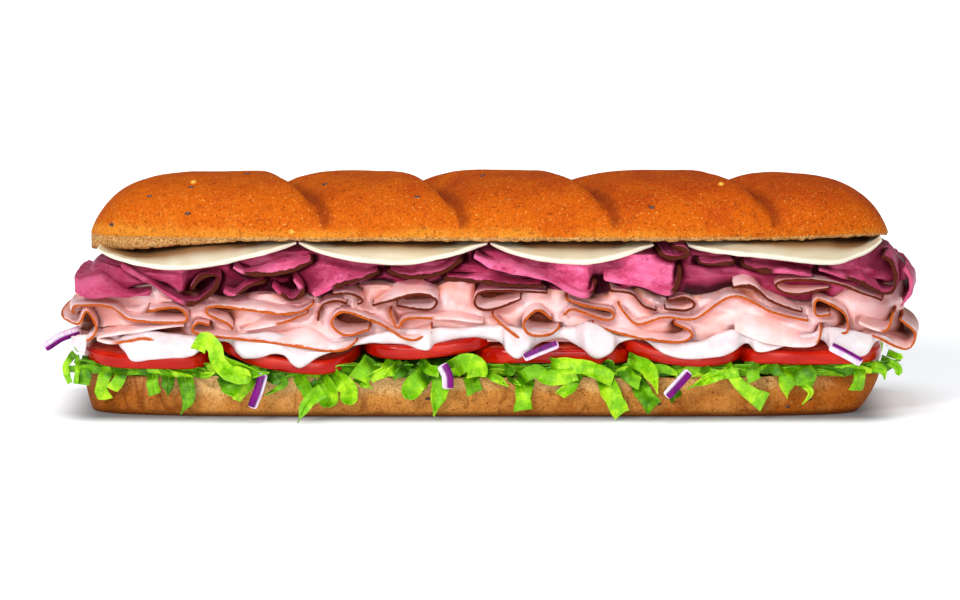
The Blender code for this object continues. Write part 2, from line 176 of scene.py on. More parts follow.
def vertices_of(obj: bpy.types.Object) -> np.ndarray:
    """The object's vertices, one row each, as they are stored."""
    flat = np.empty(len(obj.data.vertices) * 3)
    obj.data.vertices.foreach_get("co", flat)
    return flat.reshape(-1, 3)


def put_vertices(obj: bpy.types.Object, places: np.ndarray) -> None:
    """Moves every vertex to its place, given in millimetres."""
    obj.data.vertices.foreach_set("co", (places * MM).astype(np.float32).ravel())
    obj.data.update()


def tag(obj: bpy.types.Object, **numbers: object) -> None:
    """Stores numbers on the vertices, by name, for the material: one for each vertex, or one for all."""
    for name, values in numbers.items():
        attribute = obj.data.attributes.new(name, "FLOAT", "POINT")
        spread = np.broadcast_to(values, len(obj.data.vertices))
        attribute.data.foreach_set("value", spread.astype(np.float32))


def new_grid(name: str, columns: int, rows: int) -> tuple[bpy.types.Object, np.ndarray, np.ndarray]:
    """A flat grid to be shaped.

    Args:
        name: the piece's name.
        columns: faces along u.
        rows: faces along v.

    Returns:
        The object, and each vertex's u and v from 0 to 1.
    """
    deselect()
    bpy.ops.mesh.primitive_grid_add(x_subdivisions=columns, y_subdivisions=rows, size=1.0)
    obj = bpy.context.object
    obj.name = obj.data.name = name
    flat = vertices_of(obj)
    return obj, flat[:, 0] + 0.5, flat[:, 1] + 0.5


def new_ball(name: str, around: int, along: int) -> tuple[bpy.types.Object, np.ndarray, np.ndarray]:
    """A closed ball whose poles lie along X, to be shaped into something long.

    Args:
        name: the piece's name.
        around: faces around its long axis.
        along: faces from pole to pole.

    Returns:
        The object, each vertex's way from pole to pole from -1 to 1, and its angle about X in radians.
    """
    deselect()
    bpy.ops.mesh.primitive_uv_sphere_add(segments=around, ring_count=along, radius=1.0)
    obj = bpy.context.object
    obj.name = obj.data.name = name
    bpy.ops.object.mode_set(mode="EDIT")
    bpy.ops.mesh.select_all(action="SELECT")
    bpy.ops.transform.rotate(value=math.pi / 2, orient_axis="Y", center_override=(0, 0, 0))
    bpy.ops.object.mode_set(mode="OBJECT")
    ball = vertices_of(obj)
    way = 1 - 2 * np.arccos(np.clip(ball[:, 0], -1, 1)) / math.pi
    return obj, way, np.arctan2(ball[:, 2], -ball[:, 1]) % (2 * math.pi)


def apply_modifier(obj: bpy.types.Object, kind: str, **settings: object) -> None:
    """Adds one modifier with these settings and applies it."""
    make_active(obj)
    modifier = obj.modifiers.new(kind.lower(), kind)
    for key, value in settings.items():
        setattr(modifier, key, value)
    bpy.ops.object.modifier_apply(modifier=modifier.name)


def close(obj: bpy.types.Object) -> None:
    """Merges the vertices that coincide and turns every face outwards."""
    make_active(obj)
    bpy.ops.object.mode_set(mode="EDIT")
    bpy.ops.mesh.select_all(action="SELECT")
    bpy.ops.mesh.remove_doubles(threshold=1e-6)
    bpy.ops.mesh.normals_make_consistent(inside=False)
    bpy.ops.object.mode_set(mode="OBJECT")


def thicken(obj: bpy.types.Object, thickness: float, edge: float, shares: np.ndarray) -> None:
    """Gives a sheet its thickness, to both sides, and rounds its edges.

    Args:
        obj: the sheet.
        thickness: at its thickest, in millimetres.
        edge: how far the edges are rounded, in millimetres.
        shares: each vertex's share of that thickness.
    """
    steps = 16
    group = obj.vertex_groups.new(name="thickness")
    levels = np.round(np.clip(shares, 0.0, 1.0) * steps).astype(int)
    for level in np.unique(levels):
        group.add(np.flatnonzero(levels == level).tolist(), level / steps, "REPLACE")
    apply_modifier(obj, "SOLIDIFY", thickness=thickness * MM, offset=0.0, use_quality_normals=True,
                   vertex_group=group.name)
    apply_modifier(obj, "BEVEL", width=edge * MM, segments=2, limit_method="ANGLE",
                   angle_limit=math.radians(55))


def join(objects: list[bpy.types.Object], name: str) -> bpy.types.Object:
    """Joins objects into one piece of that name."""
    deselect()
    for obj in objects:
        obj.select_set(True)
    bpy.context.view_layer.objects.active = objects[0]
    bpy.ops.object.join()
    joined = bpy.context.object
    joined.name = joined.data.name = name
    return joined


def settle_origin(obj: bpy.types.Object) -> None:
    """Puts the object's place into its mesh, so that it sits unturned at the origin."""
    make_active(obj)
    bpy.ops.object.transform_apply(location=True, rotation=True, scale=True)


def finish_piece(obj: bpy.types.Object, material: bpy.types.Material, slot: str, *nodes: str) -> None:
    """Dresses a piece and ties it to the model.

    Args:
        obj: the piece.
        material: its finish.
        slot: the record's material slot; not used.
        nodes: the solids that it stands for.
    """
    obj.data.materials.clear()
    obj.data.materials.append(material)
    make_active(obj)
    bpy.ops.object.shade_smooth_by_angle(angle=math.radians(45))
    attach(obj, BODY)
    if nodes:
        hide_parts(*nodes)
    LOG.info("%s: %d faces", obj.name, len(obj.data.polygons))


# ---------------------------------------------------------------- finishes


class Recipe:
    """A material being laid out, node by node."""

    def __init__(self, name: str) -> None:
        """Starts a material with one Principled shader."""
        self.material = bpy.data.materials.new(name)
        self.material.use_nodes = True
        self.tree = self.material.node_tree
        self.shader = self.tree.nodes["Principled BSDF"]
        self.place = self.tree.nodes.new("ShaderNodeTexCoord").outputs["Object"]

    def node(self, kind: str, **inputs: object) -> bpy.types.Node:
        """Adds a node. Inputs are values or sockets, by name with underscores for spaces."""
        made = self.tree.nodes.new(kind)
        for key, value in inputs.items():
            self.feed(made.inputs[key.replace("_", " ")], value)
        return made

    def feed(self, socket: Socket, value: object) -> None:
        """Sets a socket to a value, or links another socket to it."""
        if isinstance(value, Socket):
            self.tree.links.new(value, socket)
        elif isinstance(value, tuple) and len(value) == 3 and socket.type == "RGBA":
            socket.default_value = (*value, 1.0)
        else:
            socket.default_value = value

    def stretched(self, along: float, across: float, up: float) -> Socket:
        """The object's own coordinates, scaled on each axis."""
        return self.node("ShaderNodeMapping", Vector=self.place, Scale=(along, across, up)).outputs["Vector"]

    def grain(self, size: float, detail: float = 3.0, rough: float = 0.55, where: object = None) -> Socket:
        """Noise from 0 to 1 whose features are about size millimetres.

        Args:
            size: in millimetres.
            detail: how many finer layers it has.
            rough: how strong those layers are.
            where: coordinates other than the object's own.

        Returns:
            The noise's value.
        """
        made = self.node("ShaderNodeTexNoise", Vector=where or self.place, Scale=1 / (size * MM),
                         Detail=detail, Roughness=rough)
        return made.outputs["Fac"]

    def cells(self, size: float, where: object = None) -> Socket:
        """The distance to the nearest of scattered points that are about size millimetres apart."""
        made = self.node("ShaderNodeTexVoronoi", Vector=where or self.place, Scale=1 / (size * MM))
        return made.outputs["Distance"]

    def stored(self, name: str) -> Socket:
        """A number stored on the mesh."""
        made = self.tree.nodes.new("ShaderNodeAttribute")
        made.attribute_name = name
        return made.outputs["Fac"]

    def ramp(self, value: object, low: float, high: float, start: float = 0.0, end: float = 1.0) -> Socket:
        """Value read from start to end as it goes from low to high, eased and clamped."""
        made = self.node("ShaderNodeMapRange", Value=value, From_Min=low, From_Max=high, To_Min=start,
                         To_Max=end)
        made.interpolation_type = "SMOOTHSTEP"
        return made.outputs["Result"]

    def maths(self, operation: str, first: object, second: object = 0.0) -> Socket:
        """One operation on two numbers."""
        made = self.tree.nodes.new("ShaderNodeMath")
        made.operation = operation
        self.feed(made.inputs[0], first)
        self.feed(made.inputs[1], second)
        return made.outputs[0]

    def plus(self, first: object, second: object) -> Socket:
        """The sum of two numbers."""
        return self.maths("ADD", first, second)

    def minus(self, first: object, second: object) -> Socket:
        """The first number less the second."""
        return self.maths("SUBTRACT", first, second)

    def times(self, first: object, second: object) -> Socket:
        """The product of two numbers."""
        return self.maths("MULTIPLY", first, second)

    def axis(self, name: str) -> Socket:
        """The object's own coordinate on one axis, in metres."""
        return self.node("ShaderNodeSeparateXYZ", Vector=self.place).outputs[name]

    def mix(self, factor: object, first: object, second: object, of_bumps: bool = False) -> Socket:
        """A colour between first and second, or a bump between them where of_bumps is set."""
        made = self.tree.nodes.new("ShaderNodeMix")
        made.data_type = "VECTOR" if of_bumps else "RGBA"
        start, result = (4, 1) if of_bumps else (6, 2)
        self.feed(made.inputs["Factor"], factor)
        self.feed(made.inputs[start], first)
        self.feed(made.inputs[start + 1], second)
        return made.outputs[result]

    def tint(self, colour: object, other: object, value: object, low: float, high: float,
             start: float = 0.0, end: float = 1.0) -> Socket:
        """A colour that turns into another as a value rises.

        Args:
            colour: the first colour.
            other: the colour that it turns into.
            value: what leads the change.
            low: the value up to which the other colour has its starting share.
            high: the value from which it has its end share.
            start: the other colour's starting share.
            end: its end share.

        Returns:
            The mixed colour.
        """
        return self.mix(self.ramp(value, low, high, start, end), colour, other)

    def relief(self, height: object, depth: float, under: object = None) -> Socket:
        """A bump whose full range is depth millimetres, over another bump."""
        made = self.node("ShaderNodeBump", Height=height, Distance=depth * MM, Strength=1.0)
        if under is not None:
            self.feed(made.inputs["Normal"], under)
        return made.outputs["Normal"]

    def shade(self, **inputs: object) -> None:
        """Sets the shader's inputs, by name with underscores for spaces."""
        for key, value in inputs.items():
            self.feed(self.shader.inputs[key.replace("_", " ")], value)


@dataclass(frozen=True)
class CrustFinish:
    """Baked crust that fades to crumb where the loaf was cut."""

    name: str = "baked_crust"
    pale: Colour = tone(224, 138, 38)
    golden: Colour = tone(208, 96, 4)
    dark: Colour = tone(184, 68, 2)
    # The next colour serves the crust's dark specks and also the painted shade in its creases.
    spot: Colour = tone(112, 30, 2)
    fleck: Colour = tone(250, 186, 88)
    crumb: Colour = tone(230, 184, 118)
    hollow: Colour = tone(172, 106, 48)
    browned_ends: Colour = tone(184, 74, 12)
    middle_share: float = 10.0
    # Painted shade towards the loaf's right end: its strength, and the span along X where it comes in.
    lean: float = 0.2
    right_shade_span: Span = (-0.12, 0.14)
    end_span: Span = (0.13, 0.17)
    floury: float = 0.7
    top: float = 0.090
    bottom: float = 0.071

    def build(self) -> bpy.types.Material:
        """Lays out the crust's nodes."""
        recipe = Recipe(self.name)
        height, along = recipe.axis("Z"), recipe.axis("X")
        patches = recipe.grain(15, 4, 0.6)
        # Darker towards the crown's top; the heel's bounds are swapped, so it is darker towards its bottom.
        low_quarter = self.bottom + 0.25 * (self.top - self.bottom)
        lifted = recipe.plus(recipe.ramp(height, self.bottom, self.top, 0.0, 0.3),
                             recipe.ramp(height, self.bottom, low_quarter, 0.0, 0.3))
        baked = recipe.plus(lifted, recipe.ramp(patches, 0.3, 0.75, 0.0, 0.35))
        # Painted shade: darker towards the loaf's right end, as if lit from the left.
        baked = recipe.plus(baked, recipe.ramp(along, *self.right_shade_span, -0.4 * self.lean, self.lean))
        colour = recipe.tint(self.pale, self.golden, baked, 0.08, 0.5)
        colour = recipe.tint(colour, self.dark, baked, 0.5, 1.0, 0.0, 0.9)
        outward = recipe.plus(recipe.maths("ABSOLUTE", along), recipe.times(patches, 0.06))
        ends = recipe.ramp(outward, *self.end_span)
        colour = recipe.mix(recipe.times(ends, 1 / self.middle_share), colour, self.browned_ends)
        fine = recipe.grain(1.0, 4, 0.75)
        colour = recipe.tint(colour, self.spot, fine, 0.48, 0.66, 0.0, 0.55)
        colour = recipe.tint(colour, self.spot, recipe.grain(2.6, 4, 0.75), 0.56, 0.68, 0.0, 0.6)
        flour = recipe.grain(1.1, 4, 0.75, recipe.stretched(1.1, 0.9, 1.0))
        colour = recipe.tint(colour, self.fleck, flour, 0.57, 0.7, 0.0, self.floury)
        bran = recipe.ramp(recipe.cells(2.4), 0.08, 0.2, 1.0, 0.0)
        chance = recipe.ramp(recipe.grain(4, 1), 0.54, 0.62)
        colour = recipe.mix(recipe.times(recipe.times(bran, chance), 0.85), colour, self.spot)
        ragged = recipe.times(recipe.minus(recipe.grain(1.6, 3, 0.7), 0.5), 1.4)
        crust = recipe.ramp(recipe.plus(recipe.stored("crust"), ragged), 0.38, 0.62)
        pores = recipe.grain(0.8, 4, 0.75)
        crumb = recipe.tint(self.hollow, self.crumb, pores, 0.4, 0.62)
        colour = recipe.mix(crust, crumb, colour)
        # Painted shade: darker in the scores' creases, towards the cut strip's lower edge, in the heel's
        # wrinkles and along its bottom.
        colour = recipe.tint(colour, self.spot, recipe.stored("crease"), 0.1, 1.0, 0.0, 0.65)
        soft = recipe.relief(recipe.grain(4, 4, 0.6), 0.6)
        pitted = recipe.relief(fine, 0.38, soft)
        opened = recipe.relief(pores, 0.7, soft)
        surface = recipe.mix(crust, opened, pitted, of_bumps=True)
        gloss = recipe.ramp(patches, 0.3, 0.7, 0.68, 0.54)
        recipe.shade(Base_Color=colour, Roughness=recipe.ramp(crust, 0.2, 0.8, 0.9, gloss), Normal=surface)
        recipe.shade(Specular_IOR_Level=0.07)
        return recipe.material


@dataclass(frozen=True)
class MeatFinish:
    """A slice of cooked meat with a browned rim."""

    name: str
    flesh: Colour
    flush: Colour
    light: Colour
    # The next colour serves the fibres and cracks and is also the painted shade further in; the shadow colour
    # is that painted shade at its darkest.
    dark_flesh_and_shade: Colour
    shadow: Colour
    rim: Colour
    char: Colour
    rim_width: float
    ragged: float
    fibre: float
    strand: float
    cloud: float
    cracks: float
    gloss: float
    darker_ends: float = 0.0

    def build(self) -> bpy.types.Material:
        """Lays out the meat's nodes: fibres, a flush, painted shade further in from the front edge, and a
        browned rim.
        """
        recipe = Recipe(self.name)
        cloud = recipe.grain(self.cloud, 3, 0.55)
        colour = recipe.tint(self.flesh, self.flush, cloud, 0.36, 0.64)
        strands = recipe.grain(self.strand, 3, 0.6, recipe.stretched(0.45, 1.0, 1.3))
        colour = recipe.tint(colour, self.light, strands, 0.5, 0.72, 0.0, self.fibre)
        colour = recipe.tint(colour, self.dark_flesh_and_shade, strands, 0.42, 0.25, 0.0, self.fibre)
        veins = recipe.grain(6.5, 2, 0.5, recipe.stretched(0.8, 1.0, 1.0))
        near_line = recipe.maths("ABSOLUTE", recipe.minus(veins, 0.5))
        split = recipe.ramp(near_line, 0.003, 0.012, self.cracks, 0.0)
        colour = recipe.mix(recipe.times(split, recipe.ramp(cloud, 0.42, 0.5)), colour, self.dark_flesh_and_shade)
        along = recipe.maths("ABSOLUTE", recipe.axis("X"))
        colour = recipe.tint(colour, self.dark_flesh_and_shade, along, 0.095, 0.13, 0.0, self.darker_ends)
        colour = recipe.tint(colour, self.dark_flesh_and_shade, recipe.grain(46, 1), 0.4, 0.62, 0.0, 0.6 * self.darker_ends)
        # Painted shade: the stored depth turns the flesh darker, then to shadow, further in from the front
        # edge and in the inner folds.
        depth = recipe.stored("depth")
        colour = recipe.tint(colour, self.dark_flesh_and_shade, depth, 7.0, 20.0, 0.0, 0.7)
        colour = recipe.tint(colour, self.shadow, depth, 16.0, 27.0, 0.0, 0.9)
        grain = recipe.times(recipe.minus(recipe.grain(2.4, 4, 0.65), 0.5), self.ragged)
        ragged = recipe.plus(recipe.stored("rim"), grain)
        browned = recipe.ramp(ragged, self.rim_width, self.rim_width + 0.35, 1.0, 0.0)
        browned = recipe.times(browned, recipe.stored("bark"))
        bark = recipe.tint(self.rim, self.char, recipe.stored("toast"), 0.3, 0.8)
        bark = recipe.tint(bark, self.char, recipe.grain(0.9, 3, 0.7), 0.48, 0.7, 0.0, 0.6)
        colour = recipe.mix(browned, colour, bark)
        surface = recipe.relief(strands, 0.12)
        surface = recipe.relief(recipe.grain(0.9, 3, 0.65), 0.08, surface)
        bark_relief = recipe.relief(recipe.times(recipe.grain(0.8, 3, 0.7), browned), 0.4, surface)
        wet = recipe.ramp(recipe.grain(5, 2), 0.35, 0.65, self.gloss + 0.12, self.gloss - 0.06)
        recipe.shade(Base_Color=colour, Roughness=recipe.ramp(browned, 0.0, 1.0, wet, 0.85),
                     Normal=bark_relief)
        recipe.shade(Specular_IOR_Level=0.16)
        return recipe.material


@dataclass(frozen=True)
class CheeseFinish:
    """Smooth pale cheese, with painted shade under the crown and a painted highlight on its front edge."""

    name: str = "pale_cheese"
    body: Colour = tone(210, 198, 170)
    warm: Colour = tone(206, 188, 152)
    # The next colour is a painted highlight on the cheese's front edge.
    cut: Colour = tone(240, 234, 212)
    shaded: Colour = tone(126, 76, 24)

    def build(self) -> bpy.types.Material:
        """Lays out the cheese's nodes."""
        recipe = Recipe(self.name)
        colour = recipe.tint(self.body, self.warm, recipe.grain(18, 3), 0.35, 0.7)
        # Painted shade: darker further back, where the cheese runs up under the crown.
        colour = recipe.tint(colour, self.shaded, recipe.stored("depth"), 2.0, 9.0, 0.0, 0.9)
        # Painted highlight: the cheese's front edge is painted lighter.
        colour = recipe.tint(colour, self.cut, recipe.stored("rim"), 0.2, 1.2, 0.9, 0.0)
        surface = recipe.relief(recipe.grain(2.2, 3, 0.55), 0.06, recipe.relief(recipe.grain(9, 2), 0.25))
        recipe.shade(Base_Color=colour, Roughness=0.36, Normal=surface, Specular_IOR_Level=0.5)
        return recipe.material


@dataclass(frozen=True)
class TomatoFinish:
    """Wet tomato: skin round the edge, flesh on the cut faces."""

    name: str = "ripe_tomato"
    skin: Colour = tone(170, 10, 0)
    lit_skin: Colour = tone(204, 34, 0)
    flesh: Colour = tone(222, 62, 34)
    lit_flesh: Colour = tone(240, 110, 78)

    def build(self) -> bpy.types.Material:
        """Lays out the tomato's nodes."""
        recipe = Recipe(self.name)
        streaks = recipe.grain(9, 3, 0.6, recipe.stretched(0.4, 1.0, 2.2))
        skin = recipe.tint(self.skin, self.lit_skin, streaks, 0.35, 0.7)
        flesh = recipe.tint(self.flesh, self.lit_flesh, recipe.grain(3, 4, 0.7), 0.4, 0.65)
        colour = recipe.tint(flesh, skin, recipe.stored("skin"), 0.35, 0.75)
        surface = recipe.relief(recipe.grain(5, 3, 0.55), 0.2, recipe.relief(recipe.grain(0.8, 2), 0.04))
        recipe.shade(Base_Color=colour, Roughness=recipe.ramp(streaks, 0.3, 0.7, 0.14, 0.26), Normal=surface)
        recipe.shade(Specular_IOR_Level=0.2, Coat_Weight=0.1, Coat_Roughness=0.05)
        return recipe.material


@dataclass(frozen=True)
class SauceFinish:
    """Thick glossy white sauce."""

    name: str = "white_sauce"
    body: Colour = tone(236, 226, 228)
    shaded: Colour = tone(226, 208, 211)

    def build(self) -> bpy.types.Material:
        """Lays out the sauce's nodes."""
        recipe = Recipe(self.name)
        colour = recipe.tint(self.body, self.shaded, recipe.grain(6, 3), 0.35, 0.7)
        surface = recipe.relief(recipe.grain(3.5, 2, 0.5), 0.16)
        recipe.shade(Base_Color=colour, Roughness=0.22, Normal=surface, Specular_IOR_Level=0.5)
        recipe.shade(Coat_Weight=0.3, Coat_Roughness=0.1, Subsurface_Weight=0.2, Subsurface_Scale=0.002)
        return recipe.material


@dataclass(frozen=True)
class OnionFinish:
    """Red onion: purple skin side, pale flesh on the other."""

    name: str = "red_onion"
    purple: Colour = tone(84, 0, 88)
    lit_purple: Colour = tone(126, 0, 122)
    flesh: Colour = tone(244, 232, 246)
    shaded: Colour = tone(222, 190, 226)

    def build(self) -> bpy.types.Material:
        """Lays out the onion's nodes."""
        recipe = Recipe(self.name)
        lines = recipe.grain(0.9, 2, 0.5, recipe.stretched(1.0, 1.0, 0.25))
        purple = recipe.tint(self.purple, self.lit_purple, lines, 0.3, 0.7)
        pale = recipe.tint(self.flesh, self.shaded, lines, 0.3, 0.7)
        colour = recipe.tint(purple, pale, recipe.stored("flesh"), 0.35, 0.65)
        surface = recipe.relief(lines, 0.08)
        recipe.shade(Base_Color=colour, Roughness=0.3, Normal=surface, Specular_IOR_Level=0.16)
        return recipe.material


@dataclass(frozen=True)
class LettuceFinish:
    """Crisp green lettuce, paler along its ribs and veins."""

    name: str = "crisp_lettuce"
    lit: Colour = tone(182, 230, 28)
    bright: Colour = tone(122, 190, 0)
    green: Colour = tone(66, 126, 0)
    dark: Colour = tone(22, 54, 2)
    rib: Colour = tone(202, 230, 96)

    def build(self) -> bpy.types.Material:
        """Lays out the lettuce's nodes."""
        recipe = Recipe(self.name)
        run, across = recipe.times(recipe.stored("run"), MM), recipe.times(recipe.stored("across"), 0.3 * MM)
        ribbon = recipe.node("ShaderNodeCombineXYZ", X=run, Y=across).outputs["Vector"]
        stripes = recipe.grain(1.7, 2, 0.6, ribbon)
        patch = recipe.plus(recipe.grain(7, 3, 0.6), recipe.times(recipe.stored("shade"), 0.5))
        patch = recipe.plus(patch, recipe.times(recipe.minus(stripes, 0.5), 0.35))
        colour = recipe.tint(self.lit, self.bright, patch, 0.36, 0.62)
        colour = recipe.tint(colour, self.green, patch, 0.6, 0.95)
        colour = recipe.tint(colour, self.dark, patch, 0.95, 1.25)
        veins = recipe.ramp(recipe.cells(2.8, recipe.stretched(1.0, 1.0, 0.6)), 0.0, 0.3, 0.6, 0.0)
        colour = recipe.mix(recipe.times(veins, 0.35), colour, self.rib)
        colour = recipe.tint(colour, self.rib, recipe.stored("rib"), 0.6, 1.0, 0.0, 0.4)
        surface = recipe.relief(recipe.grain(3.2, 4, 0.6), 0.9, recipe.relief(stripes, 0.5))
        recipe.shade(Base_Color=colour, Roughness=0.4, Normal=surface, Specular_IOR_Level=0.3)
        return recipe.material


@dataclass(frozen=True)
class PlainFinish:
    """One colour with a little mottling, for seeds."""

    name: str
    colour: Colour
    second: Colour
    rough: float
    size: float = 1.0

    def build(self) -> bpy.types.Material:
        """Lays out two mottled colours."""
        recipe = Recipe(self.name)
        colour = recipe.tint(self.colour, self.second, recipe.grain(self.size, 2), 0.4, 0.6)
        recipe.shade(Base_Color=colour, Roughness=self.rough)
        return recipe.material


@dataclass(frozen=True)
class FloorFinish:
    """White paper that glows more with distance, so that no far edge shows, with a painted contact shadow
    round the sandwich.
    """

    name: str = "white_floor"
    near: float = 0.46
    far: float = 1.0
    near_end: float = 0.2
    far_start: float = 0.6
    # The painted contact shadow: the footprint it surrounds, how far it reaches, and its colour.
    half_length: float = 0.146
    half_width: float = 0.030
    shadow_reach: float = 0.022
    under: Colour = (0.22, 0.23, 0.25)
    paper: Colour = (0.72, 0.76, 0.8)

    def build(self) -> bpy.types.Material:
        """Lays out the floor's nodes."""
        recipe = Recipe(self.name)
        beside = [self.outside(recipe, recipe.axis(axis), half)
                  for axis, half in (("X", self.half_length), ("Y", self.half_width))]
        apart = recipe.maths("SQRT", recipe.plus(*[recipe.times(part, part) for part in beside]))
        # Painted contact shadow: darker, and glowing less, round the sandwich's footprint.
        clear_of_painted_shadow = recipe.ramp(apart, 0.0, self.shadow_reach, 0.12, 1.0)
        away = recipe.tree.nodes.new("ShaderNodeVectorMath")
        away.operation = "LENGTH"
        recipe.feed(away.inputs[0], recipe.place)
        glow = recipe.ramp(away.outputs["Value"], self.near_end, self.far_start, self.near, self.far)
        recipe.shade(Base_Color=recipe.mix(clear_of_painted_shadow, self.under, self.paper), Roughness=0.8)
        recipe.shade(Emission_Color=(1.0, 1.0, 1.0), Emission_Strength=recipe.times(glow, clear_of_painted_shadow))
        return recipe.material

    @staticmethod
    def outside(recipe: Recipe, value: Socket, half: float) -> Socket:
        """How far a coordinate lies outside half to either side, or 0."""
        return recipe.maths("MAXIMUM", recipe.minus(recipe.maths("ABSOLUTE", value), half), 0.0)


HEEL_CRUST = CrustFinish("heel_crust", pale=tone(236, 184, 118), golden=tone(206, 136, 62),
                         dark=tone(158, 78, 10), spot=tone(108, 42, 4), fleck=tone(244, 206, 150),
                         browned_ends=tone(172, 84, 4), middle_share=1.25, floury=0.3, top=-0.006,
                         bottom=0.013)
TURKEY = MeatFinish("sliced_turkey", flesh=tone(254, 222, 222), flush=tone(252, 198, 190),
                    light=tone(255, 238, 238), dark_flesh_and_shade=tone(222, 132, 78), shadow=tone(92, 30, 10),
                    rim=tone(200, 92, 24), char=tone(104, 34, 6), rim_width=0.36, ragged=1.5, fibre=0.14,
                    strand=1.5, cloud=12.0, cracks=0.0, gloss=0.36)
BEEF = MeatFinish("sliced_beef", flesh=tone(244, 118, 166), flush=tone(214, 76, 124),
                  light=tone(252, 172, 200), dark_flesh_and_shade=tone(134, 18, 50), shadow=tone(34, 2, 8),
                  rim=tone(112, 44, 18), char=tone(34, 8, 4), rim_width=0.7, ragged=2.6, fibre=0.3,
                  strand=0.9, cloud=9.0, cracks=0.6, gloss=0.4, darker_ends=0.5)
GOLDEN_SEED = PlainFinish("golden_seed", tone(236, 178, 50), tone(214, 140, 30), 0.35)
DARK_SEED = PlainFinish("dark_seed", tone(96, 50, 30), tone(58, 26, 18), 0.4)


# ---------------------------------------------------------------- the folded slices


class Filling(Enum):
    """A kind of folded slice, named as its material slot."""

    TURKEY = "turkey"
    BEEF = "beef"
    CHEESE = "cheese"


CHEESE_EDGES: dict[str, Points] = {
    "cheese_1": ((-147.4, 65.4), (-142, 63.6), (-130, 61.2), (-115, 59.5), (-97, 62), (-77, 66.6),
                 (-70.3, 68.3)),
    "cheese_2": ((-69.3, 68.3), (-62, 66.0), (-47, 62.8), (-30, 61.7), (-14, 64), (-3, 66.9), (2.9, 68.3)),
    "cheese_3": ((3.9, 68.3), (10, 66.2), (22, 63.4), (38, 61.9), (51, 63.8), (61, 66.4), (66.6, 67.6)),
    "cheese_4": ((79.6, 67.6), (87, 66.3), (108, 64), (133, 61.4), (145, 63.8), (151, 66.2), (154.6, 68.4)),
}

BEEF_EDGES: dict[str, Points] = {
    "beef_01": ((-154.8, 48.8), (-150, 47.2), (-138, 48.4), (-126, 49.6)),
    "beef_02": ((-137, 60), (-125, 53.2), (-111.5, 45.8), (-102, 50.8), (-100, 56.6), (-106.4, 55.8),
                (-110.2, 51.2)),
    "beef_03": ((-97.8, 50.6), (-93, 49.6), (-87, 53), (-81.6, 54.3)),
    "beef_04": ((-94, 59.9), (-87, 57.4), (-75, 57.6), (-64, 62)),
    "beef_05": ((-79, 52.6), (-72, 47.6), (-67.6, 50.2), (-71, 55)),
    "beef_06": ((-63.8, 48.6), (-55, 52), (-46, 55), (-38.5, 57.8)),
    "beef_07": ((-35.5, 58.4), (-26, 56), (-15, 57.4), (-6.6, 62.4)),
    "beef_08": ((-13.5, 55), (0, 54.6), (12, 53), (24.5, 52.4)),
    "beef_09": ((-2, 63.8), (8, 59), (24, 55.6), (37, 50), (42.4, 50.2), (43.8, 55)),
    "beef_10": ((47.4, 55), (60, 53), (72, 50), (75.6, 54.6), (76, 60.4)),
    "beef_11": ((68.4, 65), (73, 63.4), (78.6, 64.6), (77.6, 67), (73.6, 67.4)),
    "beef_12": ((83, 61.8), (89, 61), (97, 61.6)),
    "beef_13": ((99.8, 60.8), (107, 58.8), (118, 58.4), (127, 56.6)),
    "beef_14": ((129.5, 58.8), (143, 54.8), (154.5, 48.9), (158.8, 50.4), (159, 56), (157, 60.8),
                (153.6, 62.8)),
    "beef_15": ((161.4, 43.4), (165, 48.6), (165.2, 54), (162.4, 57.6)),
}

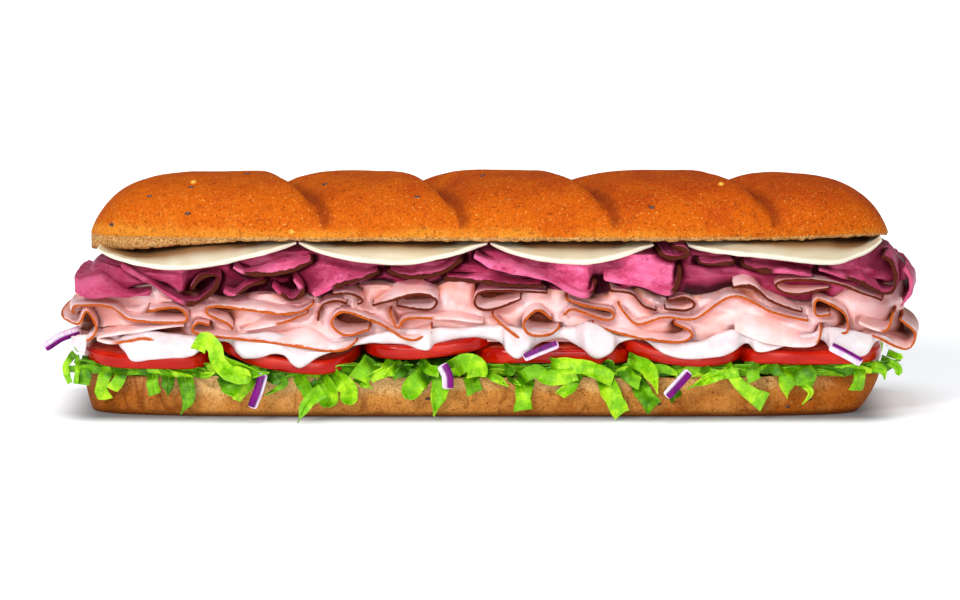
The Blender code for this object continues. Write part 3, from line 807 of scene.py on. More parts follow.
TURKEY_EDGES: dict[str, Points] = {
    "turkey_01": ((-156.3, 40.4), (-154.6, 43.6), (-141, 44), (-133, 39.4), (-114.4, 38.7), (-112.4, 41.8),
                  (-116.6, 44.4), (-127, 42.5)),
    "turkey_02": ((-160, 38.2), (-154.2, 36.4), (-150.6, 41.8), (-146.9, 35.6), (-149.6, 30.6), (-154, 30.4)),
    "turkey_03": ((-113.6, 37), (-124, 36.2), (-135, 34.4), (-144, 32.6), (-146.4, 31), (-141, 30.2),
                  (-135, 31), (-129, 32.2), (-119, 30.4), (-107.4, 30.4)),
    "turkey_04": ((-103.5, 37.4), (-108.4, 38.4), (-109.4, 34.8), (-97, 33.1), (-79, 31), (-55, 27.8),
                  (-46.6, 32)),
    "turkey_05": ((-63.4, 45.2), (-73, 42), (-100, 45.2), (-104.3, 42.4), (-97.4, 38.8), (-94.6, 35.6)),
    "turkey_06": ((-90.5, 35.4), (-78, 37.8), (-65.6, 41.8)),
    "turkey_07": ((-50.6, 45.3), (-54.6, 46.7), (-60, 45), (-61.7, 38.8)),
    "turkey_08": ((-42, 35.9), (-51, 33.9), (-56.4, 38.4), (-51.6, 42.9), (-39, 38.7), (-27, 32.1),
                  (-18, 34.3)),
    "turkey_09": ((-34.4, 43), (-31.4, 36.8), (-27.8, 40.4), (-14, 40.4), (1.2, 38.6)),
    "turkey_10": ((-41, 45), (-24.5, 49.6), (-16.7, 47.6), (-19.4, 43.8), (-32, 45)),
    "turkey_11": ((-56.5, 48.9), (-50.4, 49.8), (-44.6, 47.4), (-46.6, 45.2)),
    "turkey_12": ((26, 49.7), (10, 50.8), (0, 50.2), (-1.8, 45.2), (4, 43.4), (16, 47.2)),
    "turkey_13": ((4.6, 41.2), (8.6, 37.6), (16, 32)),
    "turkey_14": ((27.6, 39.8), (22.4, 43.4), (16.8, 38.6), (19, 34.2), (26.4, 34), (31, 37)),
    "turkey_15": ((32.4, 40.8), (36, 43.3), (48.8, 39.5), (50.6, 43), (40, 45.2), (33, 47.4)),
    "turkey_16": ((49.5, 50.9), (57.6, 50), (62.4, 45.2), (67.5, 42.9)),
    "turkey_17": ((53, 45.4), (60, 38), (70, 40.8), (82, 40.4), (97, 48.9), (112, 42.8), (125.6, 39.2)),
    "turkey_18": ((96.5, 51.6), (103.6, 53), (111, 47.4), (123.4, 42.6)),
    "turkey_19": ((71.4, 46.8), (78.4, 48.2), (82, 45.4), (78, 43.4), (70.4, 43.6)),
    "turkey_20": ((43, 38), (52, 34.6), (66, 31.4), (77.6, 31.2), (80.8, 34.6), (74, 37.8)),
    "turkey_21": ((97.6, 35.4), (110, 31), (127, 30), (130.6, 36)),
    "turkey_22": ((134.2, 41.3), (128.4, 41.6), (129, 47.6), (139, 42.4), (140.6, 35), (136, 34)),
    "turkey_23": ((145, 37.8), (155.4, 34.5), (158.2, 41)),
    "turkey_24": ((145.6, 31.4), (151, 32.2), (163.4, 26.4), (167.3, 32.4), (160.8, 38.4)),
    "turkey_25": ((134, 51.5), (119.5, 49.6), (113.1, 52.8), (118.6, 54.8), (134.6, 53.9), (154, 45.8)),
}


@dataclass
class Pile:
    """The heap of folded slices and the field that lays them in place."""

    edge: float = 46.0
    rim: float = 36.0
    crown_face: float = 69.0
    most_rise: float = 17.0
    window: float = 6.0
    least_height: float = 0.5
    own_share: float = 0.6
    own_run: float = 7.0
    packing: float = 1.45
    gap: float = 0.35
    arch: float = 6.0
    sway: float = 5.0
    sway_wave: float = 150.0
    middle: float = 3.0
    left_dip: float = 6.0
    dip_span: Span = (-158.0, -82.0)
    loaf_half: float = 154.0
    end_start: float = 112.0
    end_draw: float = 0.30
    end_reach: float = 52.0
    end_bulge: float = 4.0
    bulge_span: Span = (115.0, 165.0)
    sway_start: float = 40.0
    sway_half: float = 165.0
    lines: dict[str, np.ndarray] = field(default_factory=dict)
    thickness: dict[str, float] = field(default_factory=dict)

    def add(self, edges: dict[str, Points], thickness: float) -> None:
        """Adds a kind of slice to the pile."""
        for name, points in edges.items():
            self.lines[name] = spline(points, 2.0)
            self.thickness[name] = thickness

    def room_above(self, name: str, line: np.ndarray) -> np.ndarray:
        """How far each point of a slice's edge may rise before it meets the next slice or the crown.

        Args:
            name: the slice.
            line: its edge, finely drawn.

        Returns:
            One height for each point.
        """
        own = self.thickness[name]
        x, z = line[:, :1], line[:, 1:]
        room = self.crown_face - self.dip_at(line[:, 0]) - 2 * self.gap - own / 2 - line[:, 1]
        run = run_along(line)[:, None]
        for other, points in self.lines.items():
            needed = self.packing * (own + self.thickness[other]) / 2 + self.gap
            share = self.own_share if other == name else 1.0
            height = points[None, :, 1] - z
            near = (np.abs(points[None, :, 0] - x) <= self.window) & (height > self.least_height)
            if other == name:
                near &= np.abs(np.linspace(0, run[-1, 0], len(points))[None, :] - run) > self.own_run
            above = np.where(near, share * np.maximum(0.0, height - needed), np.inf).min(axis=1)
            room = np.minimum(room, above)
        return np.clip(room, 0.0, self.most_rise)

    def dip_at(self, x: np.ndarray) -> np.ndarray:
        """How far the crown's lower edge dips at x, towards the loaf's left end."""
        return self.left_dip * (1 - smooth(x, *self.dip_span))

    def draw_in(self, x: np.ndarray) -> np.ndarray:
        """How much of its width the pile keeps at x."""
        out = np.maximum(0.0, np.abs(x - self.middle) - self.end_start) / self.end_reach
        return 1 - self.end_draw * out**2

    def arch_at(self, x: np.ndarray, y: np.ndarray) -> np.ndarray:
        """How much higher the pile is here than at the loaf's rim."""
        along = np.maximum(0.0, 1 - np.abs((x - self.middle) / self.loaf_half) ** 5)
        return self.arch * along * np.maximum(0.0, 1 - np.abs(y) / self.rim)

    def sway_at(self, x: np.ndarray, y: np.ndarray) -> np.ndarray:
        """How far the pile lies along X here from where its front edge is."""
        along = np.maximum(0.0, 1 - np.abs(x / self.sway_half) ** 4)
        wave = self.sway * np.sin(2 * math.pi * (x + self.sway_start) / self.sway_wave)
        return wave * along * np.maximum(0.0, 1 - np.abs(y) / self.rim)

    def round_end(self, x: np.ndarray, y: np.ndarray) -> np.ndarray:
        """How far the pile's middle stands out beyond its front edge, at the loaf's ends."""
        bulge = np.sign(x) * self.end_bulge * smooth(np.abs(x), *self.bulge_span)
        return bulge * np.maximum(0.0, 1 - (y / self.edge) ** 2)

    @staticmethod
    def wander(places: np.ndarray) -> np.ndarray:
        """The places, shifted a little by one field that every soft piece shares."""
        return places + drift(places, 24.0, 7.3) * np.array([0.5, 1.5, 0.45])


@dataclass
class FoldedSlice:
    """One slice of meat or cheese, laid from the front of the sandwich to its far side."""

    name: str
    points: Points
    thickness: float
    seed: float
    bark: Span = (0.0, 1.0)
    toast: float = 0.5
    set_back: float = 0.0
    set_back_reach: float = 30.0
    end_curve: float = 3.0
    most_rise: float = 17.0
    low_ends: float = 0.0
    low_span: Span = (143.0, 162.0)
    step: float = 0.9
    drape: float = 11.0
    lip: float = 0.4
    lip_reach: float = 1.8
    frill: float = 1.2
    ruffle: float = 0.2
    # The next three set the painted shade that the sheet takes on further in from its front edge.
    dim: float = 1.0
    dim_span: Span = (136.0, 152.0)
    covered: float = 67.6
    uneven: float = 0.25
    rounded: float = 1.0
    taper: float = 0.0
    rim_rows: tuple[int, int, int] = (0, 6, 9)
    edge_rows: tuple[int, int, int] = (7, 16, 8)
    inner_rows: tuple[int, int, int] = (20, 72, 12)

    def depths(self, pile: Pile) -> np.ndarray:
        """How far in from the front edge each row of the sheet lies: close together near both edges."""
        front = np.concatenate([np.linspace(*self.rim_rows), np.linspace(*self.edge_rows)])
        return np.concatenate([front, np.linspace(*self.inner_rows), 2 * pile.edge - front[::-1]])

    def rise_of(self, line: np.ndarray, pile: Pile) -> np.ndarray:
        """How far each point of the edge rises behind the edge, evened out along the edge."""
        end = 1 - self.low_ends * smooth(np.abs(line[:, 0]), *self.low_span)
        if self.name in CHEESE_EDGES:
            end = 1 - np.abs(np.linspace(-1, 1, len(line))) ** 8
        rise = np.minimum(pile.room_above(self.name, line), self.most_rise) * end
        span = max(1, round(4.0 / self.step))
        for measure in (np.min, np.mean):
            padded = np.pad(rise, span, mode="edge")
            rise = np.array([measure(padded[i:i + 2 * span + 1]) for i in range(len(rise))])
        return rise

    def build(self, pile: Pile) -> bpy.types.Object:
        """Models the slice.

        Args:
            pile: the heap that it lies in.

        Returns:
            The finished mesh, as an object.
        """
        line, depths = spline(self.points, self.step), self.depths(pile)
        last, rows = len(line) - 1, len(depths) - 1
        obj, u, v = new_grid(self.name + "_slice", last, rows)
        at = u * last
        x, level, up = (np.interp(at, np.arange(last + 1), values)
                        for values in (*line.T, self.rise_of(line, pile)))
        depth = np.interp(v * rows, np.arange(rows + 1), depths)
        inward = np.minimum(depth, 2 * pile.edge - depth)
        run = at * self.step
        side = np.where(depth < pile.edge, -1.0, 1.0)
        frill = self.frill * sample(run / 9 + self.seed, side, self.seed)
        recess = self.set_back + self.end_curve * np.abs(2 * u - 1) ** 4 - frill
        y = depth - pile.edge - side * recess * np.clip(1 - inward / self.set_back_reach, 0, 1)
        steepness = 1.3 + 0.5 * (1 + 0.5 * math.sin(self.seed * 5))
        eased = 1 - np.clip(1 - inward / self.drape, 0, 1) ** steepness
        lip = self.lip * np.clip(1 - inward / self.lip_reach, 0, 1) ** 2
        z = level + up * eased + pile.arch_at(x, y) - lip
        x_laid = x + pile.sway_at(x, y) + self.rounded * pile.round_end(x, y)
        places = np.column_stack([x_laid, y * pile.draw_in(x), z])
        places[:, 2] += self.ruffle * sample(run / 5.5 + self.seed, inward / 14, self.seed)
        put_vertices(obj, pile.wander(places))
        # Painted shade: how much the sheet takes on, less at the loaf's ends, and for cheese only where it
        # runs back under the crown.
        painted_shade_share = 1 - 0.6 * smooth(np.abs(x), *self.dim_span)
        if self.name in CHEESE_EDGES:
            painted_shade_share = smooth(self.covered - level, 0.6, 4.5)
        first, final = self.bark
        bark = smooth(u, first - 0.03, first + 0.03) * (1 - smooth(u, final - 0.03, final + 0.03))
        rim = np.minimum(inward, np.minimum(run, run.max() - run))
        tag(obj, rim=rim, depth=inward * painted_shade_share * self.dim, toast=self.toast, bark=bark)
        uneven = 0.5 + sample(run / 4.5 + self.seed, inward / 10, 3 * self.seed)
        shares = (1 - self.uneven * uneven) * (1 - self.taper * np.abs(2 * u - 1) ** 10)
        thicken(obj, self.thickness, min(0.5, 0.3 * self.thickness), shares)
        return obj


@dataclass
class InnerFolds:
    """What the meat looks like between its slices: a mass of soft folds, set back from the edges, with
    painted shade.
    """

    shade: float = 6.0
    left: Span = (151.0, 153.0)
    right: Span = (160.0, 158.0)
    swell: float = 0.0
    fronts: Points = ((-172.0, -112.5), (27.0, 42.6), (54.0, 74.6), (133.0, 172.0))
    gap_shade: float = 0.4
    dips: float = 0.0
    fold_size: float = 6.5
    fold_depth: float = 2.8
    hollow_depth: float = 6.0
    hollow_shade: float = 26.0
    gap_depth: float = 4.0
    seam: float = 49.0
    seam_half: float = 3.5
    seam_wave: float = 6.5
    seam_shade: float = 15.0
    rim: float = 5.0

    def build(self, name: str, low: float, high: float, half: float, pile: Pile,
              slices: dict[str, Points]) -> bpy.types.Object:
        """Models the mass.

        Args:
            name: the piece's name.
            low: where it starts, in millimetres.
            high: where it ends.
            half: how far it reaches from the loaf's middle to each side.
            pile: the heap that it belongs to.
            slices: the edges of the slices in front of it, whose loops it darkens and falls back behind.

        Returns:
            The finished mesh, as an object.
        """
        obj, way, angle = new_ball(name, 88, 420)
        keep = np.clip(1 - np.abs(way) ** 12, 0, 1) ** 0.5
        round_y, round_z = -np.cos(angle), np.sin(angle)
        square = np.maximum(np.abs(round_y), np.abs(round_z)) ** -0.85
        z = 0.5 * (low + high) + round_z * square * 0.5 * (high - low)
        x = way * np.where(way < 0, np.interp(z, (low, high), self.left),
                           np.interp(z, (low, high), self.right))
        full = min(1.0, self.swell) * self.swollen(x)
        y = round_y * square * (half + self.swell * full) * keep
        hollow = self.hollow(x, z, slices) * (1 - full)
        tilt = np.column_stack([x * 0.28 + z * 0.3, y * 0.2, z * 1.25 + x * 0.14])
        folds = 1 - 2 * np.abs(bumps(tilt, self.fold_size, low))
        gap = self.gap_below(x, z, slices)
        proud = self.fold_depth * folds + 0.8 * bumps(tilt, 2.8, high)
        places = np.column_stack([x, y, z])
        proud = proud - self.hollow_depth * hollow - self.gap_depth * gap
        places[:, 1] += np.sign(y) * proud * np.abs(round_y)
        near_seam = np.exp(-(((z - self.seam) / self.seam_half) ** 2))
        along = np.column_stack([x, 0 * x, 0 * x])
        wave = self.seam_wave * bumps(along, 17.0, 12.7) * near_seam
        places[:, 2] += pile.arch_at(x, y) + 0.6 * folds + wave
        places[:, 2] -= self.dips * pile.dip_at(x) * smooth(round_z, 0.0, 0.9)
        places[:, 0] += pile.sway_at(x, y) + pile.round_end(x, y)
        places[:, 1] *= pile.draw_in(x)
        put_vertices(obj, pile.wander(places))
        # Painted shade: the mass's own shade, more inside the slices' loops, under their edges and along the
        # seam, less on the folds' ridges.
        shade = self.shade * (1 - 0.8 * full) - 4.0 * np.clip(folds, -0.5, 1)
        shade += self.hollow_shade * np.maximum(hollow, self.gap_shade * gap)
        shade += self.seam_shade * near_seam * smooth(bumps(along, 8.0, 3.7), -0.3, 0.3)
        tag(obj, rim=self.rim, depth=shade, bark=0.0, toast=1.0)
        close(obj)
        return obj

    def swollen(self, x: np.ndarray) -> np.ndarray:
        """1 where the mass itself is seen at the front, between the slices, and 0 elsewhere."""
        return np.max([smooth(x, left - 3, left + 3) * (1 - smooth(x, right - 1.5, right + 1.5))
                       for left, right in self.fronts], axis=0)

    @staticmethod
    def gap_below(x: np.ndarray, z: np.ndarray, slices: dict[str, Points]) -> np.ndarray:
        """1 just under the edge of a slice, falling to 0 about three millimetres below it."""
        most = np.zeros_like(x)
        for points in slices.values():
            line = spline(points, 1.2)
            beside = np.abs(line[None, :, 0] - x[:, None])
            below = line[None, :, 1] - z[:, None]
            near = np.exp(-((beside / 1.6) ** 2)) * smooth(below, -1.2, 0.6) * (1 - smooth(below, 1.4, 4.2))
            most = np.maximum(most, near.max(axis=1))
        return most

    @staticmethod
    def hollow(x: np.ndarray, z: np.ndarray, slices: dict[str, Points]) -> np.ndarray:
        """1 where a place lies inside the loop of a slice, seen from the front, and 0 elsewhere."""
        most = np.zeros_like(x)
        for points in slices.values():
            line = spline(points, 1.5)
            seen = np.arctan2(line[None, :, 1] - z[:, None], line[None, :, 0] - x[:, None])
            turn = np.diff(seen, axis=1)
            turned = np.abs(((turn + math.pi) % (2 * math.pi) - math.pi).sum(axis=1))
            most = np.maximum(most, turned)
        return smooth(most, 3.5, 4.9)


# Where along its edge a slice has bark or a browned rim, as shares of the edge. The others have it all along.
ALL_ALONG: Span = (-1.0, 2.0)
BARK: dict[str, Span] = {
    "beef_01": (2.0, 2.0), "beef_02": (0.46, 2.0), "beef_03": (0.3, 2.0), "beef_04": (0.15, 2.0),
    "beef_05": (0.2, 0.8), "beef_06": (0.3, 2.0), "beef_09": (0.88, 2.0), "beef_10": (0.7, 2.0),
    "beef_13": (-1.0, 0.45), "beef_14": (0.22, 2.0), "beef_15": (2.0, 2.0), "turkey_03": (0.55, 2.0),
    "turkey_21": (0.84, 2.0), "turkey_23": (0.5, 2.0), "turkey_06": (0.5, 2.0), "turkey_09": (-1.0, 0.55),
}


# How each kind of slice differs from FoldedSlice's own sizes, and how single slices differ from their kind.
MANNERS: dict[Filling, dict[str, float]] = {
    Filling.TURKEY: {},
    Filling.BEEF: {"toast": 0.55, "most_rise": 13.0, "low_ends": 0.95, "dim": 0.65, "uneven": 0.75},
    Filling.CHEESE: {"ruffle": 0.05, "step": 1.4, "set_back": 0.0, "end_curve": 9.0, "uneven": 0.3,
                     "rounded": 0.1, "taper": 0.5},
}
ODD_SLICES: dict[str, dict[str, float]] = {"turkey_24": {"dim": 1.2}}


@dataclass
class Fillings:
    """All the folded slices."""

    turkey_thickness: float = 1.05
    beef_thickness: float = 2.2
    cheese_thickness: float = 1.9

    def build(self, pile: Pile) -> None:
        """Models and dresses every slice, and the folds between them.

        Args:
            pile: the heap that they lie in.
        """
        turkey, beef, cheese = TURKEY.build(), BEEF.build(), CheeseFinish().build()
        kinds = ((Filling.TURKEY, TURKEY_EDGES, self.turkey_thickness, turkey),
                 (Filling.BEEF, BEEF_EDGES, self.beef_thickness, beef),
                 (Filling.CHEESE, CHEESE_EDGES, self.cheese_thickness, cheese))
        for _, edges, thickness, _ in kinds:
            pile.add(edges, thickness)
        for filling, edges, thickness, material in kinds:
            for number, (name, points) in enumerate(edges.items()):
                seed = 3.1 * number + len(filling.value)
                manner = {"set_back": 1.2 + 1.2 * math.sin(7.7 * number), "toast": self.browning(points),
                          **MANNERS[filling], **ODD_SLICES.get(name, {})}
                piece = FoldedSlice(name, points, thickness, seed, BARK.get(name, ALL_ALONG), **manner)
                finish_piece(piece.build(pile), material, filling.value, name)
        folds = InnerFolds(2.5, (156.0, 156.0), (163.0, 162.0))
        folds = folds.build("turkey_folds", 29.0, 49.0, 37.0, pile, TURKEY_EDGES | BEEF_EDGES)
        finish_piece(folds, turkey, "turkey")
        # The beef mass is painted dark, as shade between the beef slices.
        folds = InnerFolds(18.0, (153.0, 146.0), (165.5, 156.0), 8.0, gap_shade=0.9, dips=1.0)
        folds = folds.build("beef_folds", 49.0, 64.0, 34.0, pile, BEEF_EDGES)
        finish_piece(folds, beef, "beef")

    @staticmethod
    def browning(points: Points) -> float:
        """How browned a turkey slice's rim is: more for the slices that lie high in the heap."""
        return float(smooth(np.mean([z for _, z in points]), 42.0, 45.0))


# ---------------------------------------------------------------- the loaf


# How near to a pole of its ball a loaf's last ring lies, so that no ring shrinks to nothing.
SHORT_OF_POLE = 0.9995


@dataclass
class Crown:
    """The upper half of the loaf: scored on top, cut underneath."""

    middle: float = 3.7
    half_length: float = 155.4
    half_width: float = 39.5
    face: float = 69.0
    height: float = 22.3
    plan: float = 3.8
    ends: Points = ((12.4, 0.80), (10.3, 0.75))
    scores: tuple[float, ...] = (-73.8, -21.0, 37.2, 98.6)
    score_depth: float = 10.0
    score_sides: Span = (3.3, 8.5)
    slant: float = 0.32
    cut_rise: float = 1.0
    cut_gape: float = -0.2
    crust_share: float = 0.66
    strip_share: float = 0.16
    fullness: float = 0.8
    crumb_layers: tuple[Place, ...] = ((0.5, 2.2, 6.3), (0.5, 4.5, 2.3))
    top_layers: tuple[Place, ...] = ((0.6, 24.0, 1.7), (0.22, 9.0, 4.1), (0.08, 2.6, 8.1))
    side_layers: tuple[Place, ...] = ((0.45, 15.0, 5.5), (0.08, 2.6, 3.1))

    def build(self, pile: Pile) -> bpy.types.Object:
        """Models the crown from a ball: every ring becomes one section of the loaf.

        Args:
            pile: the heap that its cut face is domed over.

        Returns:
            The finished mesh, as an object.
        """
        obj, way, angle = new_ball("crown_loaf", 160, 520)
        t = crowded(way, 0.3)
        ridge = self.middle + self.half_length * SHORT_OF_POLE * t
        lap = angle / (2 * math.pi)
        on_crust = lap < self.crust_share
        turn = np.clip(lap / self.crust_share, 0, 1) * math.pi
        under = np.clip((lap - self.crust_share) / (1 - self.crust_share), 0, 1)
        down = np.clip(np.minimum(under, 1 - under) / self.strip_share, 0, 1)
        beneath = 1 - 2 * np.clip((under - self.strip_share) / (1 - 2 * self.strip_share), 0, 1)
        across = np.where(on_crust, -curved(np.cos(turn), self.fullness), beneath)
        slant = self.slant * np.minimum(1.0, 4 * (1 - np.abs(t)))
        x = ridge - slant * across * self.half_width
        along = (x - self.middle) / self.half_length
        keep = (1 - np.clip(np.abs(along), 0, 1) ** self.plan) ** (1 / self.plan)
        tall = self.height * np.where(along < 0, self.end_profile(along, 0), self.end_profile(along, 1))
        y = across * self.half_width * keep
        arched = pile.arch_at(x, y)
        body = np.sin(turn) ** self.fullness * tall
        sunk = self.score_sink(ridge, across) * body / self.height
        edge = (self.cut_rise + self.cut_gape * pile.dip_at(x)) * np.minimum(1.0, tall / 12)
        crust_z = self.face + arched + edge + body * (1 - (arched + edge) / self.height) - sunk
        dip = pile.dip_at(x) * np.maximum(smooth(np.abs(beneath), 0.8, 1.0), smooth(-t, 0.94, 0.98)) * down
        z = np.where(on_crust, crust_z, self.face + arched + edge * (1 - down) - dip)
        y = np.where(on_crust, y, y * (1 - 0.02 * down))
        places = np.column_stack([x, y, z])
        crumbs = np.where(on_crust, 0.0, layers(places, *self.crumb_layers))
        places[:, 1] += crumbs
        places[:, 2] += crumbs * smooth(down, 0.3, 1.0) * 0.8
        weight = np.where(on_crust, np.sin(turn) ** 0.3, 0.12)
        places[:, 2] += weight * layers(places, *self.top_layers)
        places[:, 1] += layers(places, *self.side_layers) * np.where(on_crust, 1.0, 0.8)
        put_vertices(obj, places)
        crust = np.where(on_crust, smooth(crust_z - self.face - arched - edge, -0.4, 0.9), 0.0)
        # Painted shade: darker towards the cut strip's lower edge, and in the scores' creases.
        shaded = 0.9 * smooth(down, 0.55, 1.0)
        tag(obj, crust=crust, crease=np.where(on_crust, self.crease(ridge) * smooth(body, 1.0, 9.0), shaded))
        close(obj)
        return obj

    def crease(self, ridge: np.ndarray) -> np.ndarray:
        """1 in the valley of each score, falling to 0 away from it: where shade is painted into the scores.
        """
        valley = np.zeros_like(ridge)
        for score in self.scores:
            off = ridge - score
            valley = np.maximum(valley, np.exp(-((off - 1.5) ** 2) / np.where(off < 1.5, 2.5, 16.0)))
        return valley

    def end_profile(self, along: np.ndarray, side: int) -> np.ndarray:
        """What share of its height the crown has there, on its left or its right side."""
        power, root = self.ends[side]
        return (1 - np.clip(np.abs(along), 0, 1) ** power) ** root

    def score_sink(self, ridge: np.ndarray, across: np.ndarray) -> np.ndarray:
        """How far the scores sink each place: steep on their left, gentle on their right."""
        sink = np.zeros_like(ridge)
        for score in self.scores:
            off = ridge - score
            width = np.where(off < 0, *self.score_sides)
            sink = np.maximum(sink, self.score_depth * np.exp(-((np.abs(off) / width) ** 1.4)))
        return sink * (1 - 0.6 * np.abs(across) ** 1.5)


@dataclass
class Heel:
    """The lower half of the loaf."""

    middle: float = 0.8
    half_length: float = 156.2
    half_width: float = 37.5
    height: float = 16.4
    plan: float = 4.5
    slants: Span = (3.5, 9.0)
    cut_start: float = 0.84
    cut_half: float = 0.93
    cut_end: float = 0.982
    outline: Points = ((1.0, 1.0), (0.72, 0.92), (0.0, 0.87), (-0.72, 0.92), (-1.0, 1.0), (-1.015, 0.5),
                       (-0.985, 0.16), (-0.87, 0.0), (-0.4, 0.0), (0.0, 0.0), (0.4, 0.0), (0.87, 0.0),
                       (0.985, 0.16), (1.015, 0.5), (1.0, 1.0))

    def build(self) -> bpy.types.Object:
        """Models the heel from a ball: every ring becomes one section of the loaf.

        Returns:
            The finished mesh, as an object.
        """
        obj, way, angle = new_ball("heel_loaf", 112, 400)
        t = crowded(way, 0.35)
        x = self.middle + self.half_length * SHORT_OF_POLE * t
        width = self.half_width * (1 - np.abs(t * SHORT_OF_POLE) ** self.plan) ** (1 / self.plan)
        stops = np.linspace(0, 1, len(self.outline))
        out, up = (np.interp(angle / (2 * math.pi), stops, values) for values in zip(*self.outline))
        y, z = -out * width, up * self.height
        x = x - np.sign(t) * np.where(t < 0, *self.slants) * np.abs(t) ** 9 * (1 - z / self.height) ** 1.5
        places = np.column_stack([x, y, z])
        side = smooth(z, 0.0, 3.0) * smooth(np.abs(y) / np.maximum(width, 0.1), 0.6, 0.95)
        upright = bumps(places * np.array([1, 1, 0.3]), 7.0, 6.6)
        wrinkle = np.exp(-((upright / 0.08) ** 2)) * smooth(bumps(places, 30.0, 5.2), -0.05, 0.25)
        places[:, 1] += side * (0.8 * bumps(places, 20.0, 3.3) + 0.35 * upright)
        places[:, 1] -= np.sign(places[:, 1]) * side * 0.7 * wrinkle
        rim = smooth(z, 0.8 * self.height, self.height)
        places[:, 2] += rim * 0.8 * bumps(places, 14.0, 8.8)
        put_vertices(obj, places)
        inside = (np.abs(y) < self.cut_half * width) & (np.abs(t) < self.cut_end)
        cut = inside & (z > self.cut_start * self.height)
        # Painted shade: darker in the heel's upright wrinkles and along its bottom edge.
        tag(obj, crust=np.where(cut, 0.0, 1.0),
            crease=np.maximum(0.75 * side * wrinkle, 1 - smooth(z, 0.2, 2.6)))
        close(obj)
        apply_modifier(obj, "SMOOTH", factor=0.5, iterations=4)
        return obj


# ---------------------------------------------------------------- vegetables and sauce


@dataclass
class TomatoSlice:
    """A round slice, bent to rest on its neighbours."""

    name: str
    left: float
    lowest: float
    right: float
    left_height: float
    low_height: float
    right_height: float
    half_width: float = 42.4
    thickness: float = 5.6
    roundness: float = 4.4
    droop: float = 1.5
    skin_round: float = 1.5
    rings: int = 9

    def sag(self, x: np.ndarray) -> np.ndarray:
        """The height of the slice's middle at x."""
        before = np.clip((self.lowest - x) / (self.lowest - self.left), 0, 1) ** 2
        after = np.clip((x - self.lowest) / (self.right - self.lowest), 0, 1) ** 2
        left, right = self.left_height - self.low_height, self.right_height - self.low_height
        return self.low_height + left * before + right * after

    def build(self, pile: Pile) -> bpy.types.Object:
        """Models the slice from a cylinder with an inset face and a rounded skin edge.

        Args:
            pile: the heap that it lies under, for how it is drawn in at the loaf's ends.

        Returns:
            The finished mesh, as an object.
        """
        deselect()
        bpy.ops.mesh.primitive_cylinder_add(vertices=160, radius=1.0, depth=self.thickness,
                                            end_fill_type="NGON")
        obj = bpy.context.object
        obj.name = obj.data.name = self.name + "_slice"
        self.ring_faces(obj, self.rings)
        flat = vertices_of(obj)
        radius = np.hypot(flat[:, 0], flat[:, 1])
        turn = np.arctan2(flat[:, 1], flat[:, 0])
        power = 2 / self.roundness
        half = 0.5 * (self.right - self.left)
        x = 0.5 * (self.left + self.right) + radius * half * curved(np.cos(turn), power)
        y = radius * self.half_width * curved(np.sin(turn), power)
        z = self.sag(x) + flat[:, 2] - self.droop * smooth(radius, 0.6, 1.0)
        places = np.column_stack([x, y * pile.draw_in(x), z + self.droop])
        places += drift(places, 18.0, 2.9) * np.array([0.6, 0.6, 0.35])
        put_vertices(obj, places)
        apply_modifier(obj, "BEVEL", width=self.skin_round * MM, segments=4, limit_method="ANGLE",
                       angle_limit=1.0, profile=0.55)
        tag(obj, skin=self.skin(obj, pile))
        return obj

    def skin(self, obj: bpy.types.Object, pile: Pile) -> np.ndarray:
        """1 on the slice's rounded edge, falling to 0 on its cut faces."""
        spots = vertices_of(obj) / MM
        along = (spots[:, 0] - 0.5 * (self.left + self.right)) / (0.5 * (self.right - self.left))
        across = spots[:, 1] / (self.half_width * pile.draw_in(spots[:, 0]))
        out = (np.abs(along) ** self.roundness + np.abs(across) ** self.roundness) ** (1 / self.roundness)
        return smooth(out, 0.93, 0.965)

    @staticmethod
    def ring_faces(obj: bpy.types.Object, rings: int) -> None:
        """Insets both cut faces into rings around a fan, so that they can bend."""
        mesh = bmesh.new()
        mesh.from_mesh(obj.data)
        for _ in range(rings):
            caps = [face for face in mesh.faces if len(face.verts) > 4]
            bmesh.ops.inset_individual(mesh, faces=caps, thickness=1 / (rings + 1), use_even_offset=False)
        for face in [face for face in mesh.faces if len(face.verts) > 4]:
            bmesh.ops.poke(mesh, faces=[face])
        mesh.to_mesh(obj.data)
        mesh.free()


TOMATOES = (
    TomatoSlice("tomato_1", -154.6, -128.0, -101.4, 23.8, 22.5, 22.6),
    TomatoSlice("tomato_2", -102.4, -62.0, -44.8, 30.0, 20.6, 26.4),
    TomatoSlice("tomato_3", -45.6, -28.0, 7.0, 27.4, 26.4, 32.2),
    TomatoSlice("tomato_4", -4.0, 30.0, 61.0, 24.4, 25.0, 24.0),
    TomatoSlice("tomato_5", 52.4, 83.0, 103.6, 30.8, 23.6, 26.8),
    TomatoSlice("tomato_6", 97.5, 128.0, 156.4, 24.6, 24.4, 23.6),
)


